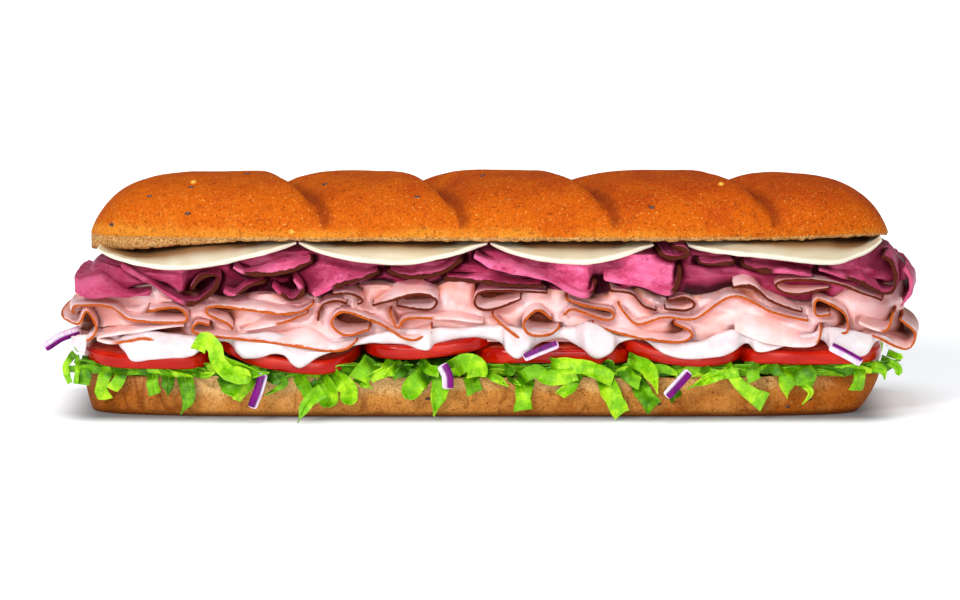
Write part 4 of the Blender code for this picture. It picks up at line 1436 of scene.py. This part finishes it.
@dataclass
class Sauce:
    """Thick sauce between the meat and the tomato, running down over the slices at the front and the back.

    Its top and its low lines are drawn as they are seen at the front, from left to right.
    """

    top: Points = ((-158.5, 34.5), (-154, 35), (-148, 32), (-140, 32), (-130, 35), (-118, 34), (-104, 33),
                   (-96, 33.5), (-80, 34.5), (-66, 31), (-55, 30.5), (-46, 32), (-34, 35), (-18, 36),
                   (-6, 36), (0, 37), (10, 37), (20, 35.5), (30, 36), (36, 36.5), (40, 38.6), (45, 37.6),
                   (50, 34.5), (56, 32), (64, 31), (76, 30.5), (84, 31), (91, 34), (98, 35.6), (104, 34),
                   (110, 31.5), (118, 31.2), (127, 33.5), (134, 36.5), (142, 35.5), (150, 34), (160, 33))
    low: Points = ((-158.4, 29), (-156.2, 24), (-153.8, 22.4), (-151.6, 24.5), (-150, 31), (-141, 31),
                   (-138.5, 28.1), (-135.9, 26.2), (-134.7, 23.5), (-132, 22.3), (-126.3, 23.5),
                   (-120.5, 24.2), (-111, 25), (-107.2, 27.3), (-102, 30.4), (-96.4, 30), (-92.6, 26.2),
                   (-89.9, 24.2), (-83.4, 25), (-78.5, 26.2), (-74.6, 25.4), (-72.7, 22.7), (-69.7, 20.7),
                   (-67, 21.5), (-63.1, 24.2), (-59.3, 26.2), (-51.7, 28.1), (-47.1, 28.9), (-42.1, 29.6),
                   (-30.6, 29.3), (-24.9, 28.1), (-19.9, 27.3), (-17.2, 28.9), (-11.5, 30.8), (-5.7, 32),
                   (1.1, 32), (7.7, 30), (9.6, 27.3), (12.2, 25), (14.5, 24.2), (19.1, 27.3), (25, 30.5),
                   (31.4, 31.6), (36.4, 29.3), (40.2, 27.3), (42.1, 25.4), (44.8, 24.2), (47.8, 25),
                   (50.5, 26.9), (54.3, 30), (61.2, 31.6), (67, 28.1), (72.7, 25.4), (80.4, 24.2), (91.8, 25),
                   (97.6, 27.3), (102.2, 29.6), (105.2, 27.3), (109.1, 26.9), (116.7, 28.6), (123, 31),
                   (130.9, 31.4), (133.9, 27.3), (137.8, 25), (143.5, 23.5), (148.6, 24.2), (150.6, 27.3),
                   (153.1, 29), (156.4, 26.2), (159.2, 23.2), (161.2, 25))
    front: float = 43.6
    recess: float = 39.6
    drip_heights: Span = (26.8, 29.6)
    middle: float = 1.2
    half_length: float = 160.0
    back_shift: float = 9.0
    layer_half: float = 153.0
    layer_height: float = 31.5
    layer_thickness: float = 2.4
    voxel: float = 0.8

    def build(self, pile: Pile) -> bpy.types.Object:
        """Models the sauce: a thick lip along each side of the sandwich and the layer between, made one.

        Args:
            pile: the heap that it lies under.

        Returns:
            The finished mesh, as an object.
        """
        lips = [self.lip(side, pile) for side in (-1, 1)]
        layer, u, v = new_grid("sauce_layer", 200, 24)
        x = -self.layer_half + 2 * self.layer_half * u
        y = (v - 0.5) * 2 * (self.recess - 1)
        z = 0.45 * self.height(self.low, x) + 0.55 * self.layer_height + 0.6
        put_vertices(layer, np.column_stack([x, y * pile.draw_in(x), z]))
        apply_modifier(layer, "SOLIDIFY", thickness=self.layer_thickness * MM, offset=0.0)
        sauce = join([*lips, layer], "sauce_spread")
        apply_modifier(sauce, "REMESH", mode="VOXEL", voxel_size=self.voxel * MM)
        apply_modifier(sauce, "SMOOTH", factor=0.6, iterations=5)
        return sauce

    @staticmethod
    def height(line: Points, x: np.ndarray) -> np.ndarray:
        """The height at x of a smooth line that runs left to right."""
        drawn = spline(line, 0.6)
        order = np.argsort(drawn[:, 0])
        return np.interp(x, drawn[order, 0], drawn[order, 1])

    def lip(self, side: int, pile: Pile) -> bpy.types.Object:
        """The sauce's rounded edge on one side of the sandwich: proud where it drips, held back elsewhere."""
        lip, way, angle = new_ball(f"sauce_lip_{side}", 36, 560)
        x = self.middle + self.half_length * way
        reach = np.sqrt(np.clip(1 - np.abs(way) ** 14, 0, 1))
        shift = self.back_shift if side > 0 else 0.0
        low = self.height(self.low, x + shift)
        top = np.maximum(self.height(self.top, x + shift), low + 2.0)
        half = 0.5 * (top - low) * reach
        z = 0.5 * (top + low) + half * np.sin(angle)
        dripping = 1 - smooth(low, *self.drip_heights)
        face = np.cos(angle) > 0
        share = np.clip((z - low) / np.maximum(top - low, 0.1), 0, 1)
        fat = (0.9 + 1.1 * dripping * (1 - share) ** 0.7 + 0.12 * np.clip(half, 0, 5)) * reach
        out = self.recess + (self.front - self.recess) * dripping * (1 - 0.45 * smooth(share, 0.3, 1.0))
        y = out + fat * np.abs(np.cos(angle)) ** 0.7 * np.where(face, 1.0, -1.8)
        places = np.column_stack([x, side * y * pile.draw_in(x), z])
        places[:, 2] += 0.3 * bumps(places, 6.0, 9.4)
        places[:, 1] += 0.5 * bumps(places, 5.0, 3.4)
        put_vertices(lip, places)
        close(lip)
        return lip


@dataclass
class OnionStrip:
    """A strip of red onion: purple skin on one side of it, pale flesh on the other."""

    name: str
    line: tuple[Place, ...]
    depth: float
    height: float
    skin_above: bool = True
    skin_share: float = 0.5
    flatness: float = 0.55

    def build(self) -> bpy.types.Object:
        """Models the strip from a ball drawn out along its middle line.

        Returns:
            The finished mesh, as an object.
        """
        strip, way, angle = new_ball(self.name + "_strip", 24, 40)
        points = np.array(self.line)
        run = np.concatenate([[0], np.cumsum(np.linalg.norm(np.diff(points, axis=0), axis=1))])
        at = (way * 0.5 + 0.5) * run[-1]
        fine = np.linspace(0, run[-1], 60)
        middle = np.column_stack([np.interp(fine, run, values) for values in points.T])
        spread = 6
        kernel = np.ones(2 * spread + 1) / (2 * spread + 1)
        padded = np.pad(middle, ((spread, spread), (0, 0)), mode="reflect", reflect_type="odd")
        eased = [np.convolve(values, kernel, mode="valid") for values in padded.T]
        place = np.column_stack([np.interp(at, fine, values) for values in eased])
        ahead = np.column_stack([np.interp(at, fine, np.gradient(values, fine)) for values in eased])
        size = np.hypot(ahead[:, 0], ahead[:, 2])
        normal = np.column_stack([-ahead[:, 2] / size, np.zeros(len(at)), ahead[:, 0] / size])
        blunt = np.clip(1 - np.abs(way) ** 14, 0, 1) ** 0.35
        side, fore = curved(np.sin(angle), self.flatness), -curved(np.cos(angle), self.flatness)
        place = place + normal * (side * blunt * self.height / 2)[:, None]
        place[:, 1] += fore * blunt * self.depth / 2
        put_vertices(strip, place)
        skin = side if self.skin_above else -side
        tag(strip, flesh=np.maximum((1 - skin) / 2 + 0.5 - self.skin_share, smooth(np.abs(way), 0.9, 0.97)))
        close(strip)
        return strip


ONIONS = (
    OnionStrip("onion_1", ((-154.6, -22, 32.4), (-162, -25, 30.2), (-168.3, -28, 26.2)),
               5.0, 3.6, skin_share=0.55),
    OnionStrip("onion_2", ((-82.6, -47.4, 19.4), (-84.6, -48.2, 12.6), (-87.2, -48.2, 6.0)),
               2.2, 3.8, False, 0.8),
    OnionStrip("onion_3", ((-14.6, -47.2, 22.8), (-12.4, -47.8, 18.6), (-12.2, -48.0, 13.4)),
               2.2, 4.4, skin_share=0.6),
    OnionStrip("onion_4", ((16.6, -47.0, 25.2), (23, -47.2, 28.0), (30, -47.0, 30.7)), 2.2, 3.2, True, 0.6),
    OnionStrip("onion_5", ((80, -47.4, 20.2), (75.6, -48.2, 15.4), (71, -48.2, 10.4)), 2.2, 3.8, True, 0.75),
    OnionStrip("onion_6", ((133.4, -47.4, 30), (139.5, -46.9, 26.8), (145.8, -46.2, 23.2)),
               2.2, 3.6, skin_share=0.4),
)


class Tip(Enum):
    """How a shred ends."""

    SQUARE = "square"
    ROUND = "round"
    POINT = "point"


@dataclass
class Shred:
    """One shred of lettuce that hangs at a side of the sandwich: its middle line and its cut."""

    line: Points
    width: float
    shade: float = 0.0
    tip: Tip = Tip.SQUARE
    last_width: float = 0.0
    out: float = 44.6
    foot: float = 41.6
    tuck: float = 6.0
    step: float = 0.85
    fall_start: float = 24.0
    most_out: float = 48.9
    least_height: float = 0.5

    def build(self, name: str, seed: float, side: int, pile: Pile) -> bpy.types.Object:
        """Models the shred as a thin ribbon.

        Args:
            name: the object's name.
            seed: what makes its waves its own.
            side: -1 for the front of the sandwich, 1 for the back, where it is mirrored.
            pile: the heap that it hangs from.

        Returns:
            The finished mesh, as an object.
        """
        line = spline(self.line, self.step)
        last = len(line) - 1
        ribbon, u, v = new_grid(name, 8, last)
        at = v * last
        ahead = np.gradient(line, axis=0)
        ahead /= np.hypot(*ahead.T)[:, None]
        x, z, way_x, way_z = (np.interp(at, np.arange(last + 1), values) for values in (*line.T, *ahead.T))
        run = at * self.step
        across = u - 0.5
        width = self.cut(v, run.max()) * (1 + 0.16 * sample(run / 3.2, seed, np.sign(across)))
        slip = 0.22 * self.width * across * smooth(v, 0.7, 1.0) if self.tip is Tip.SQUARE else 0.0
        x = x + way_z * across * width + way_x * slip
        z = z - way_x * across * width + way_z * slip
        fall = smooth(self.fall_start - z, 4.0, 14.0)
        out = self.out + (self.foot - self.out) * fall - self.tuck * (1 - smooth(run, 0.0, 5.0))
        curl = 1.0 if math.sin(seed * 9.1) > -0.2 else -0.8
        out += curl * 1.5 * (across * 2) ** 2 * self.width / 6
        out += 0.75 * np.sin(run / 2.3 + 3.5 * across + seed) * (0.35 + np.abs(across) * 1.6)
        out += 0.5 * np.sin(run / 5.0 + seed * 2.0)
        out -= 0.8 * np.exp(-((across * 9) ** 2)) * (1 if math.sin(seed * 5) > 0 else 0)
        places = np.column_stack([x, out, z])
        places += drift(places, 7.0, seed) * np.array([0.45, 0.5, 0.35])
        places[:, 1] = np.minimum(places[:, 1], self.most_out)
        places[:, 2] = np.maximum(places[:, 2], self.least_height)
        places[:, 1] *= side * pile.draw_in(places[:, 0])
        places[:, 0] *= -side
        put_vertices(ribbon, places)
        rib = np.clip(1 - np.abs(across) * 6, 0, 1) * (0.9 if math.sin(seed * 5) > 0.3 else 0.0)
        # Painted shade at the start of the shred, where it tucks back in under the tomatoes.
        tucked_shade = 0.55 * (1 - smooth(run, 1.0, 6.0)) * (self.tuck > 3)
        shade = self.shade + tucked_shade + 0.1 * np.sin(run / 4 + seed)
        tag(ribbon, rib=rib, shade=shade, run=run, across=across * width)
        return ribbon

    def cut(self, v: np.ndarray, length: float) -> np.ndarray:
        """The shred's width at each share of its length."""
        width = self.width + ((self.last_width or self.width) - self.width) * v
        if self.tip is Tip.POINT:
            return width * np.maximum(0.05, 1 - smooth(v, 0.5, 1.02))
        if self.tip is Tip.ROUND:
            reach = min(0.4, 0.55 * self.width / length)
            return width * np.sqrt(np.maximum(0.02, 1 - np.clip((v - 1 + reach) / reach, 0, 1) ** 2))
        return width


ROUND, POINT = Tip.ROUND, Tip.POINT
HANGING = (
    Shred(((-156.9, 23.8), (-160, 19.6), (-159.6, 15.3), (-158.4, 12.6)), 2.4, out=40, foot=40),
    Shred(((-156.1, 23), (-155.4, 18.4), (-156.1, 12.6)), 1.6, out=41, foot=41),
    Shred(((-151.5, 22.7), (-152.3, 17.3), (-153.5, 12.2)), 5, 0.6, out=39, foot=39),
    Shred(((-143.1, 20), (-145, 14.6), (-146.2, 9.5), (-142.7, 10.3)), 4.6),
    Shred(((-137.8, 19.6), (-138.9, 15.3), (-141.6, 11.5)), 4.6, 0.1),
    Shred(((-126.3, 18.8), (-125.5, 14.6), (-125.1, 9.9)), 4.4, 0.25),
    Shred(((-119.4, 18.4), (-119.8, 14.6), (-119.8, 9.4)), 4.6, 0.75, POINT),
    Shred(((-114, 18), (-112.5, 13.4), (-112, 8), (-114.6, 2.6)), 5.8, 0.45, POINT),
    Shred(((-110.2, 18), (-105.6, 17.7), (-101, 19.6)), 2.6, 0.1, POINT),
    Shred(((-107.5, 28), (-105, 32.6), (-101.2, 29.4), (-99.6, 24), (-95.4, 19.6), (-87.3, 18)), 5.4, -0.1,
          ROUND, 6.5, 48.3, 47.6, 2.0),
    Shred(((-101, 24), (-94, 21.4), (-86, 19.4), (-80.4, 19.6)), 6.6, 0.15, POINT, 4.0, 46.4, 46, 2.0),
    Shred(((-101, 19.6), (-95, 17.4), (-88, 16.5)), 4.0, 0.7, POINT),
    Shred(((-96.4, 17.7), (-93.4, 8.8)), 9, 0.35, POINT),
    Shred(((-85.3, 18), (-89.9, 12.6), (-93.4, 8.2)), 3.4, 0.1),
    Shred(((-80, 18.6), (-75.8, 17.3), (-75, 14.6), (-82.3, 9.9)), 2.4, 0.5, POINT),
    Shred(((-83, 17.5), (-75, 16.5)), 4.5, 0.9),
    Shred(((-69.7, 17.3), (-66.6, 12.6), (-64.3, 8.8)), 5, 0.15),
    Shred(((-62.9, 16.5), (-58.4, 11.6), (-58.6, 5.2)), 8, 0.25, ROUND, out=43.6),
    Shred(((-60, 12.6), (-65.8, 8), (-69.9, 0.3)), 5.2, 0.3, POINT, 4, 48.0, 48.6, 1.0),
    Shred(((-56.7, 17.3), (-50.5, 13), (-50.9, 6.5)), 6.5, 0.0, ROUND),
    Shred(((-48, 16.8), (-44, 14.6), (-41.2, 12.6)), 3.6, 0.1, POINT, out=45),
    Shred(((-41.3, 23.5), (-44.4, 19.6), (-46.7, 16.5)), 7, 0.1),
    Shred(((-33.7, 23.5), (-36.7, 19.6), (-42.3, 16.6)), 3.8),
    Shred(((-29.9, 21.9), (-36.9, 17.7)), 4, 0.2, POINT),
    Shred(((-27, 21.5), (-31, 18.6), (-33, 15.9)), 4, 0.7, POINT),
    Shred(((-19.8, 18.4), (-25, 14.8), (-27.9, 8.8)), 7.5, 0.15, ROUND),
    Shred(((-16.8, 19.6), (-15.3, 13.4), (-17.8, 2.0)), 6, 0.15, POINT),
    Shred(((-23, 22.9), (-19.6, 20.4), (-16, 19.8)), 4, 0.3),
    Shred(((-10.7, 19.6), (-6.4, 23.2), (-1.4, 21.9), (-1.5, 17.3)), 7, 0.0),
    Shred(((-3.8, 17.3), (-2.7, 14.2), (-1.9, 11.1)), 6.2, 0.35),
    Shred(((1.5, 18.8), (5.7, 17.3), (10.8, 13.6)), 3.2, 0.1, POINT),
    Shred(((7.7, 21), (13.2, 19.2)), 4.0, 0.55, ROUND),
    Shred(((10, 16.2), (15.6, 14.2)), 2.0, 0.3, POINT),
    Shred(((17.6, 15.7), (16.8, 10.7), (16.8, 4.1)), 6.3, 0.1),
    Shred(((14.5, 15.3), (21, 19.8), (26.8, 17.3), (36.4, 18.8)), 5.5, 0.2),
    Shred(((37.1, 18), (34.8, 13.8), (30.6, 9.9)), 5.5, 0.05, Tip.SQUARE, 4),
    Shred(((24.9, 21.9), (38.3, 21.9), (45.2, 19.6), (50.8, 16.3)), 6, 0.0),
    Shred(((47.5, 16.5), (50.5, 10.7), (54.4, 2.6)), 6.8, 0.0),
    Shred(((59.7, 15.7), (63.1, 10.3), (66.8, 5.2)), 6.5, 0.6),
    Shred(((54.3, 20.4), (58.2, 16.5), (61.2, 15)), 5, 0.2),
    Shred(((56.6, 23.5), (63.1, 21.9), (66.2, 17.3), (67.9, 10.7)), 5.5, 0.1, POINT),
    Shred(((46.8, 20.1), (50.5, 23.6)), 4.0, 0.8, ROUND),
    Shred(((73.5, 13), (75.4, 8.4)), 5, 0.7),
    Shred(((97.6, 19.6), (88, 17.3), (79.4, 12.6)), 4.2, 0.15, POINT),
    Shred(((84, 20.4), (92, 18.6), (99, 19)), 3.6, 0.4),
    Shred(((94.7, 23.5), (96.8, 18), (101.4, 12.6), (109.3, 7.2)), 2.4, 0.05, Tip.SQUARE, 7.5),
    Shred(((104.1, 22.7), (105.2, 15.8)), 5, 0.35),
    Shred(((109.2, 22), (116.7, 17.8)), 4, 0.5, POINT),
    Shred(((118.6, 21.1), (117.5, 14.6), (117.9, 8.4)), 6, 0.05, POINT),
    Shred(((122.5, 22.1), (124.3, 17.5), (123.5, 13.6)), 8.4, 0.3),
    Shred(((121.5, 15.2), (127, 11), (123.8, 6.4)), 2.6, 0.05, POINT),
    Shred(((146.2, 20.4), (145.8, 15), (144.7, 10.6)), 4.8, 0.2, foot=39),
    Shred(((148.4, 20.4), (154.6, 18.8), (156, 14.9)), 3.7, 0.2, POINT, out=42),
    Shred(((154.9, 22.1), (160.7, 19.6), (161.7, 15.8)), 2.8, 0.1, ROUND, out=40),
    Shred(((157.7, 24.2), (163.4, 22.4)), 2.6, 0.0, ROUND, out=40),
)


@dataclass
class Lettuce:
    """Shredded lettuce: a core on the heel, a bed of loose shreds, and shreds that hang at the sides."""

    count: int = 105
    seed: int = 11
    thickness: float = 0.5
    bed_half: float = 154.0
    bed_heights: Span = (16.6, 21.6)
    shades: tuple[float, ...] = (0.1, 0.4, 0.7, 0.9)
    core_half: Place = (153.0, 36.0, 3.6)
    core_height: float = 20.0
    core_shade: float = 1.1

    def build(self, pile: Pile) -> tuple[bpy.types.Object, bpy.types.Object]:
        """Models the lettuce.

        Args:
            pile: the heap that lies on it.

        Returns:
            The core and the shreds.
        """
        draw = random.Random(self.seed)
        ribbons = []
        for side in (-1, 1):
            for index, shred in enumerate(HANGING):
                ribbons.append(shred.build(f"hanging_{side}_{index}", 1.37 * index + 3 * side, side, pile))
            for index in range(self.count):
                ribbons.append(self.lying(draw, side, index, pile))
        shreds = join(ribbons, "lettuce_shreds")
        apply_modifier(shreds, "SOLIDIFY", thickness=self.thickness * MM, offset=0.0)
        return self.core(pile), shreds

    def lying(self, draw: random.Random, side: int, index: int, pile: Pile) -> bpy.types.Object:
        """One shred of the bed, lying along the loaf's edge with its ends curling."""
        ribbon, u, v = new_grid(f"lying_{side}_{index}", 4, 16)
        middle = -self.bed_half + 2 * self.bed_half * (index + draw.random()) / self.count
        length = draw.uniform(9, 20)
        width = draw.uniform(3.0, 5.5)
        lean = draw.uniform(-0.5, 0.5)
        tilt = draw.uniform(0.2, 1.5)
        away = draw.uniform(35.0, 39.5)
        height = draw.uniform(17.4, 21.0)
        seed = draw.uniform(0, 50)
        along = (v - 0.5) * length
        across = (u - 0.5) * width * (1 - 0.5 * np.abs(2 * v - 1) ** 3)
        wave = 1.2 * np.sin(along / 2.6 + seed)
        x = middle + along + lean * across
        y = -(away + across * math.cos(tilt) + wave * 0.5 + 0.012 * along**2)
        z = height + across * math.sin(tilt) + lean * along * 0.45 + wave * 0.6
        places = np.column_stack([x, y, z])
        places += drift(places, 8.0, seed) * np.array([0.6, 0.8, 0.9])
        places[:, 2] = np.clip(places[:, 2], *self.bed_heights)
        places[:, 1] = -side * places[:, 1] * pile.draw_in(places[:, 0])
        put_vertices(ribbon, places)
        rib = np.clip(1 - np.abs(u - 0.5) * 4, 0, 1) * (draw.random() > 0.7)
        tag(ribbon, rib=rib, shade=draw.choice(self.shades), run=along + seed, across=across)
        return ribbon

    def core(self, pile: Pile) -> bpy.types.Object:
        """The mass that the shreds lie on, in the darkest shade of their green."""
        core, way, angle = new_ball("lettuce_core", 48, 240)
        half_length, half_width, half_height = self.core_half
        x = half_length * way
        z = self.core_height + half_height * np.sin(angle)
        y = -np.cos(angle) * half_width * np.clip(1 - np.abs(way) ** 10, 0, 1) ** 0.5 * pile.draw_in(x)
        places = np.column_stack([x, y, z])
        places += drift(places, 5.0, 1.1) * np.array([0.8, 1.4, 0.9])
        put_vertices(core, places)
        tag(core, rib=0.0, shade=self.core_shade, run=x, across=y)
        close(core)
        return core


# ---------------------------------------------------------------- seeds


@dataclass
class Seeds:
    """Seeds baked into the crust: golden and dark."""

    golden: tuple[Place, ...] = ((-110.6, -18, 88.5), (-72, -38.4, 72.6), (92.8, -22, 85.5))
    dark: tuple[Place, ...] = ((-111, -22, 85.8), (-111.8, -33, 78.8), (-141.6, -26, 74), (-90.7, -6, 90.5),
                               (-60, -14, 88.4), (-24, -30, 82.8), (1.2, -8, 90.6), (65.8, -32, 78.6),
                               (-127, -24, 84))
    low: tuple[Place, ...] = ((127.4, -36.4, 6.6), (68.9, -36.2, 6.2), (118.6, -35, 4.2), (-20, -37, 8))
    golden_size: Place = (2.6, 2.3, 2.3)
    dark_size: Place = (2.6, 1.3, 1.5)
    low_size: Place = (2.2, 1.1, 1.3)
    sunk: float = 0.15

    def build(self, loaf: bpy.types.Object, heel: bpy.types.Object) -> list[bpy.types.Object]:
        """Models every seed and presses it into the crust.

        Args:
            loaf: the crown.
            heel: the lower half.

        Returns:
            The golden seeds and the dark seeds, each kind joined.
        """
        kinds = (("golden", self.golden, self.golden_size, loaf), ("dark", self.dark, self.dark_size, loaf),
                 ("low", self.low, self.low_size, heel))
        golden, dark, low = ([self.seed(f"{name}_{i}", place, size, crust) for i, place in enumerate(places)]
                             for name, places, size, crust in kinds)
        return [join(golden, "golden_seeds"), join(dark + low, "dark_seeds")]

    def seed(self, name: str, place: Place, size: Place, crust: bpy.types.Object) -> bpy.types.Object:
        """One seed, half sunk in the crust nearest to that place."""
        _, spot, normal, _ = crust.closest_point_on_mesh(Vector(place) * MM)
        middle = np.array(spot) / MM - np.array(normal) * self.sunk
        seed, way, angle = new_ball(name, 12, 10)
        along = np.sin(way * math.pi / 2)
        radius = np.sqrt(np.clip(1 - along ** 2, 0, 1))
        places = np.column_stack([along * size[0] / 2, -np.cos(angle) * radius * size[1] / 2,
                                  np.sin(angle) * radius * size[2] / 2])
        put_vertices(seed, places + middle)
        close(seed)
        return seed


# ---------------------------------------------------------------- the studio


@dataclass
class Studio:
    """A white floor, soft lights and the camera."""

    lens: float = 150.0
    sensor: float = 36.0
    span: float = 367.4
    rise: float = 8.0
    aim: Place = (0.0, -40.0, 46.6)
    sky: float = 0.16
    lit_spot: Place = (0.0, 0.0, 0.04)
    lights: tuple[tuple[str, Place, float, float], ...] = (
        ("key", (-0.6, -1.35, 0.9), 0.34, 13.2),
        ("front", (-0.1, -1.75, 0.35), 0.7, 8.5),
        ("side", (1.1, -1.0, 0.4), 0.6, 1.8),
        ("top", (-0.1, -0.2, 1.5), 0.8, 11.0),
    )

    def build(self) -> None:
        """Makes the floor, the lights and the camera."""
        deselect()
        bpy.ops.mesh.primitive_plane_add(size=12.0, location=(0, 2.0, 0))
        floor = bpy.context.object
        floor.name = "floor"
        settle_origin(floor)
        floor.data.materials.append(FloorFinish().build())
        world = bpy.data.worlds.new("studio")
        bpy.context.scene.world = world
        world.use_nodes = True
        background = world.node_tree.nodes["Background"]
        background.inputs["Color"].default_value = (1, 1, 1, 1)
        background.inputs["Strength"].default_value = self.sky
        for light in self.lights:
            self.light(*light)
        bpy.context.scene.view_settings.view_transform = "Standard"
        self.camera()

    def light(self, name: str, place: Place, size: float, power: float) -> None:
        """One square soft light that faces the sandwich."""
        data = bpy.data.lights.new(name, "AREA")
        data.size = size
        data.energy = power
        lamp = bpy.data.objects.new(name, data)
        bpy.context.scene.collection.objects.link(lamp)
        lamp.location = place
        lamp.rotation_euler = (Vector(self.lit_spot) - Vector(place)).to_track_quat("-Z", "Y").to_euler()

    def camera(self) -> None:
        """The camera, a little above the sandwich's front."""
        data = bpy.data.cameras.new("camera")
        data.lens = self.lens
        data.sensor_width = self.sensor
        camera = bpy.data.objects.new("camera", data)
        bpy.context.scene.collection.objects.link(camera)
        distance = self.span * self.lens / self.sensor
        tilt = math.radians(self.rise)
        aim = Vector(self.aim)
        camera.location = (aim + Vector((0, -math.cos(tilt), math.sin(tilt))) * distance) * MM
        camera.rotation_euler = (math.pi / 2 - tilt, 0, 0)
        bpy.context.scene.camera = camera


def main() -> None:
    """Builds the sandwich from its heel up, then its studio."""
    logging.basicConfig(level=logging.INFO, format="%(name)s %(message)s")
    # Blender takes its vector noise from the clock unless it is seeded.
    noise.seed_set(NOISE_SEED)
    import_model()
    pile = Pile()
    heel = Heel().build()
    finish_piece(heel, HEEL_CRUST.build(), "bread_heel", "heel")
    core, shreds = Lettuce().build(pile)
    leaf = LettuceFinish().build()
    finish_piece(core, leaf, "lettuce", "lettuce")
    finish_piece(shreds, leaf, "lettuce", "lettuce")
    skin = TomatoFinish().build()
    for tomato in TOMATOES:
        finish_piece(tomato.build(pile), skin, "tomato", tomato.name)
    finish_piece(Sauce().build(pile), SauceFinish().build(), "sauce", "sauce")
    Fillings().build(pile)
    crown = Crown().build(pile)
    finish_piece(crown, CrustFinish().build(), "bread_crust", "crown")
    onion = OnionFinish().build()
    for strip in ONIONS:
        finish_piece(strip.build(), onion, "onion", strip.name)
    golden, dark = Seeds().build(crown, heel)
    finish_piece(golden, GOLDEN_SEED.build(), "bread_crust")
    finish_piece(dark, DARK_SEED.build(), "bread_crust")
    Studio().build()


if __name__ == "__main__":
    main()
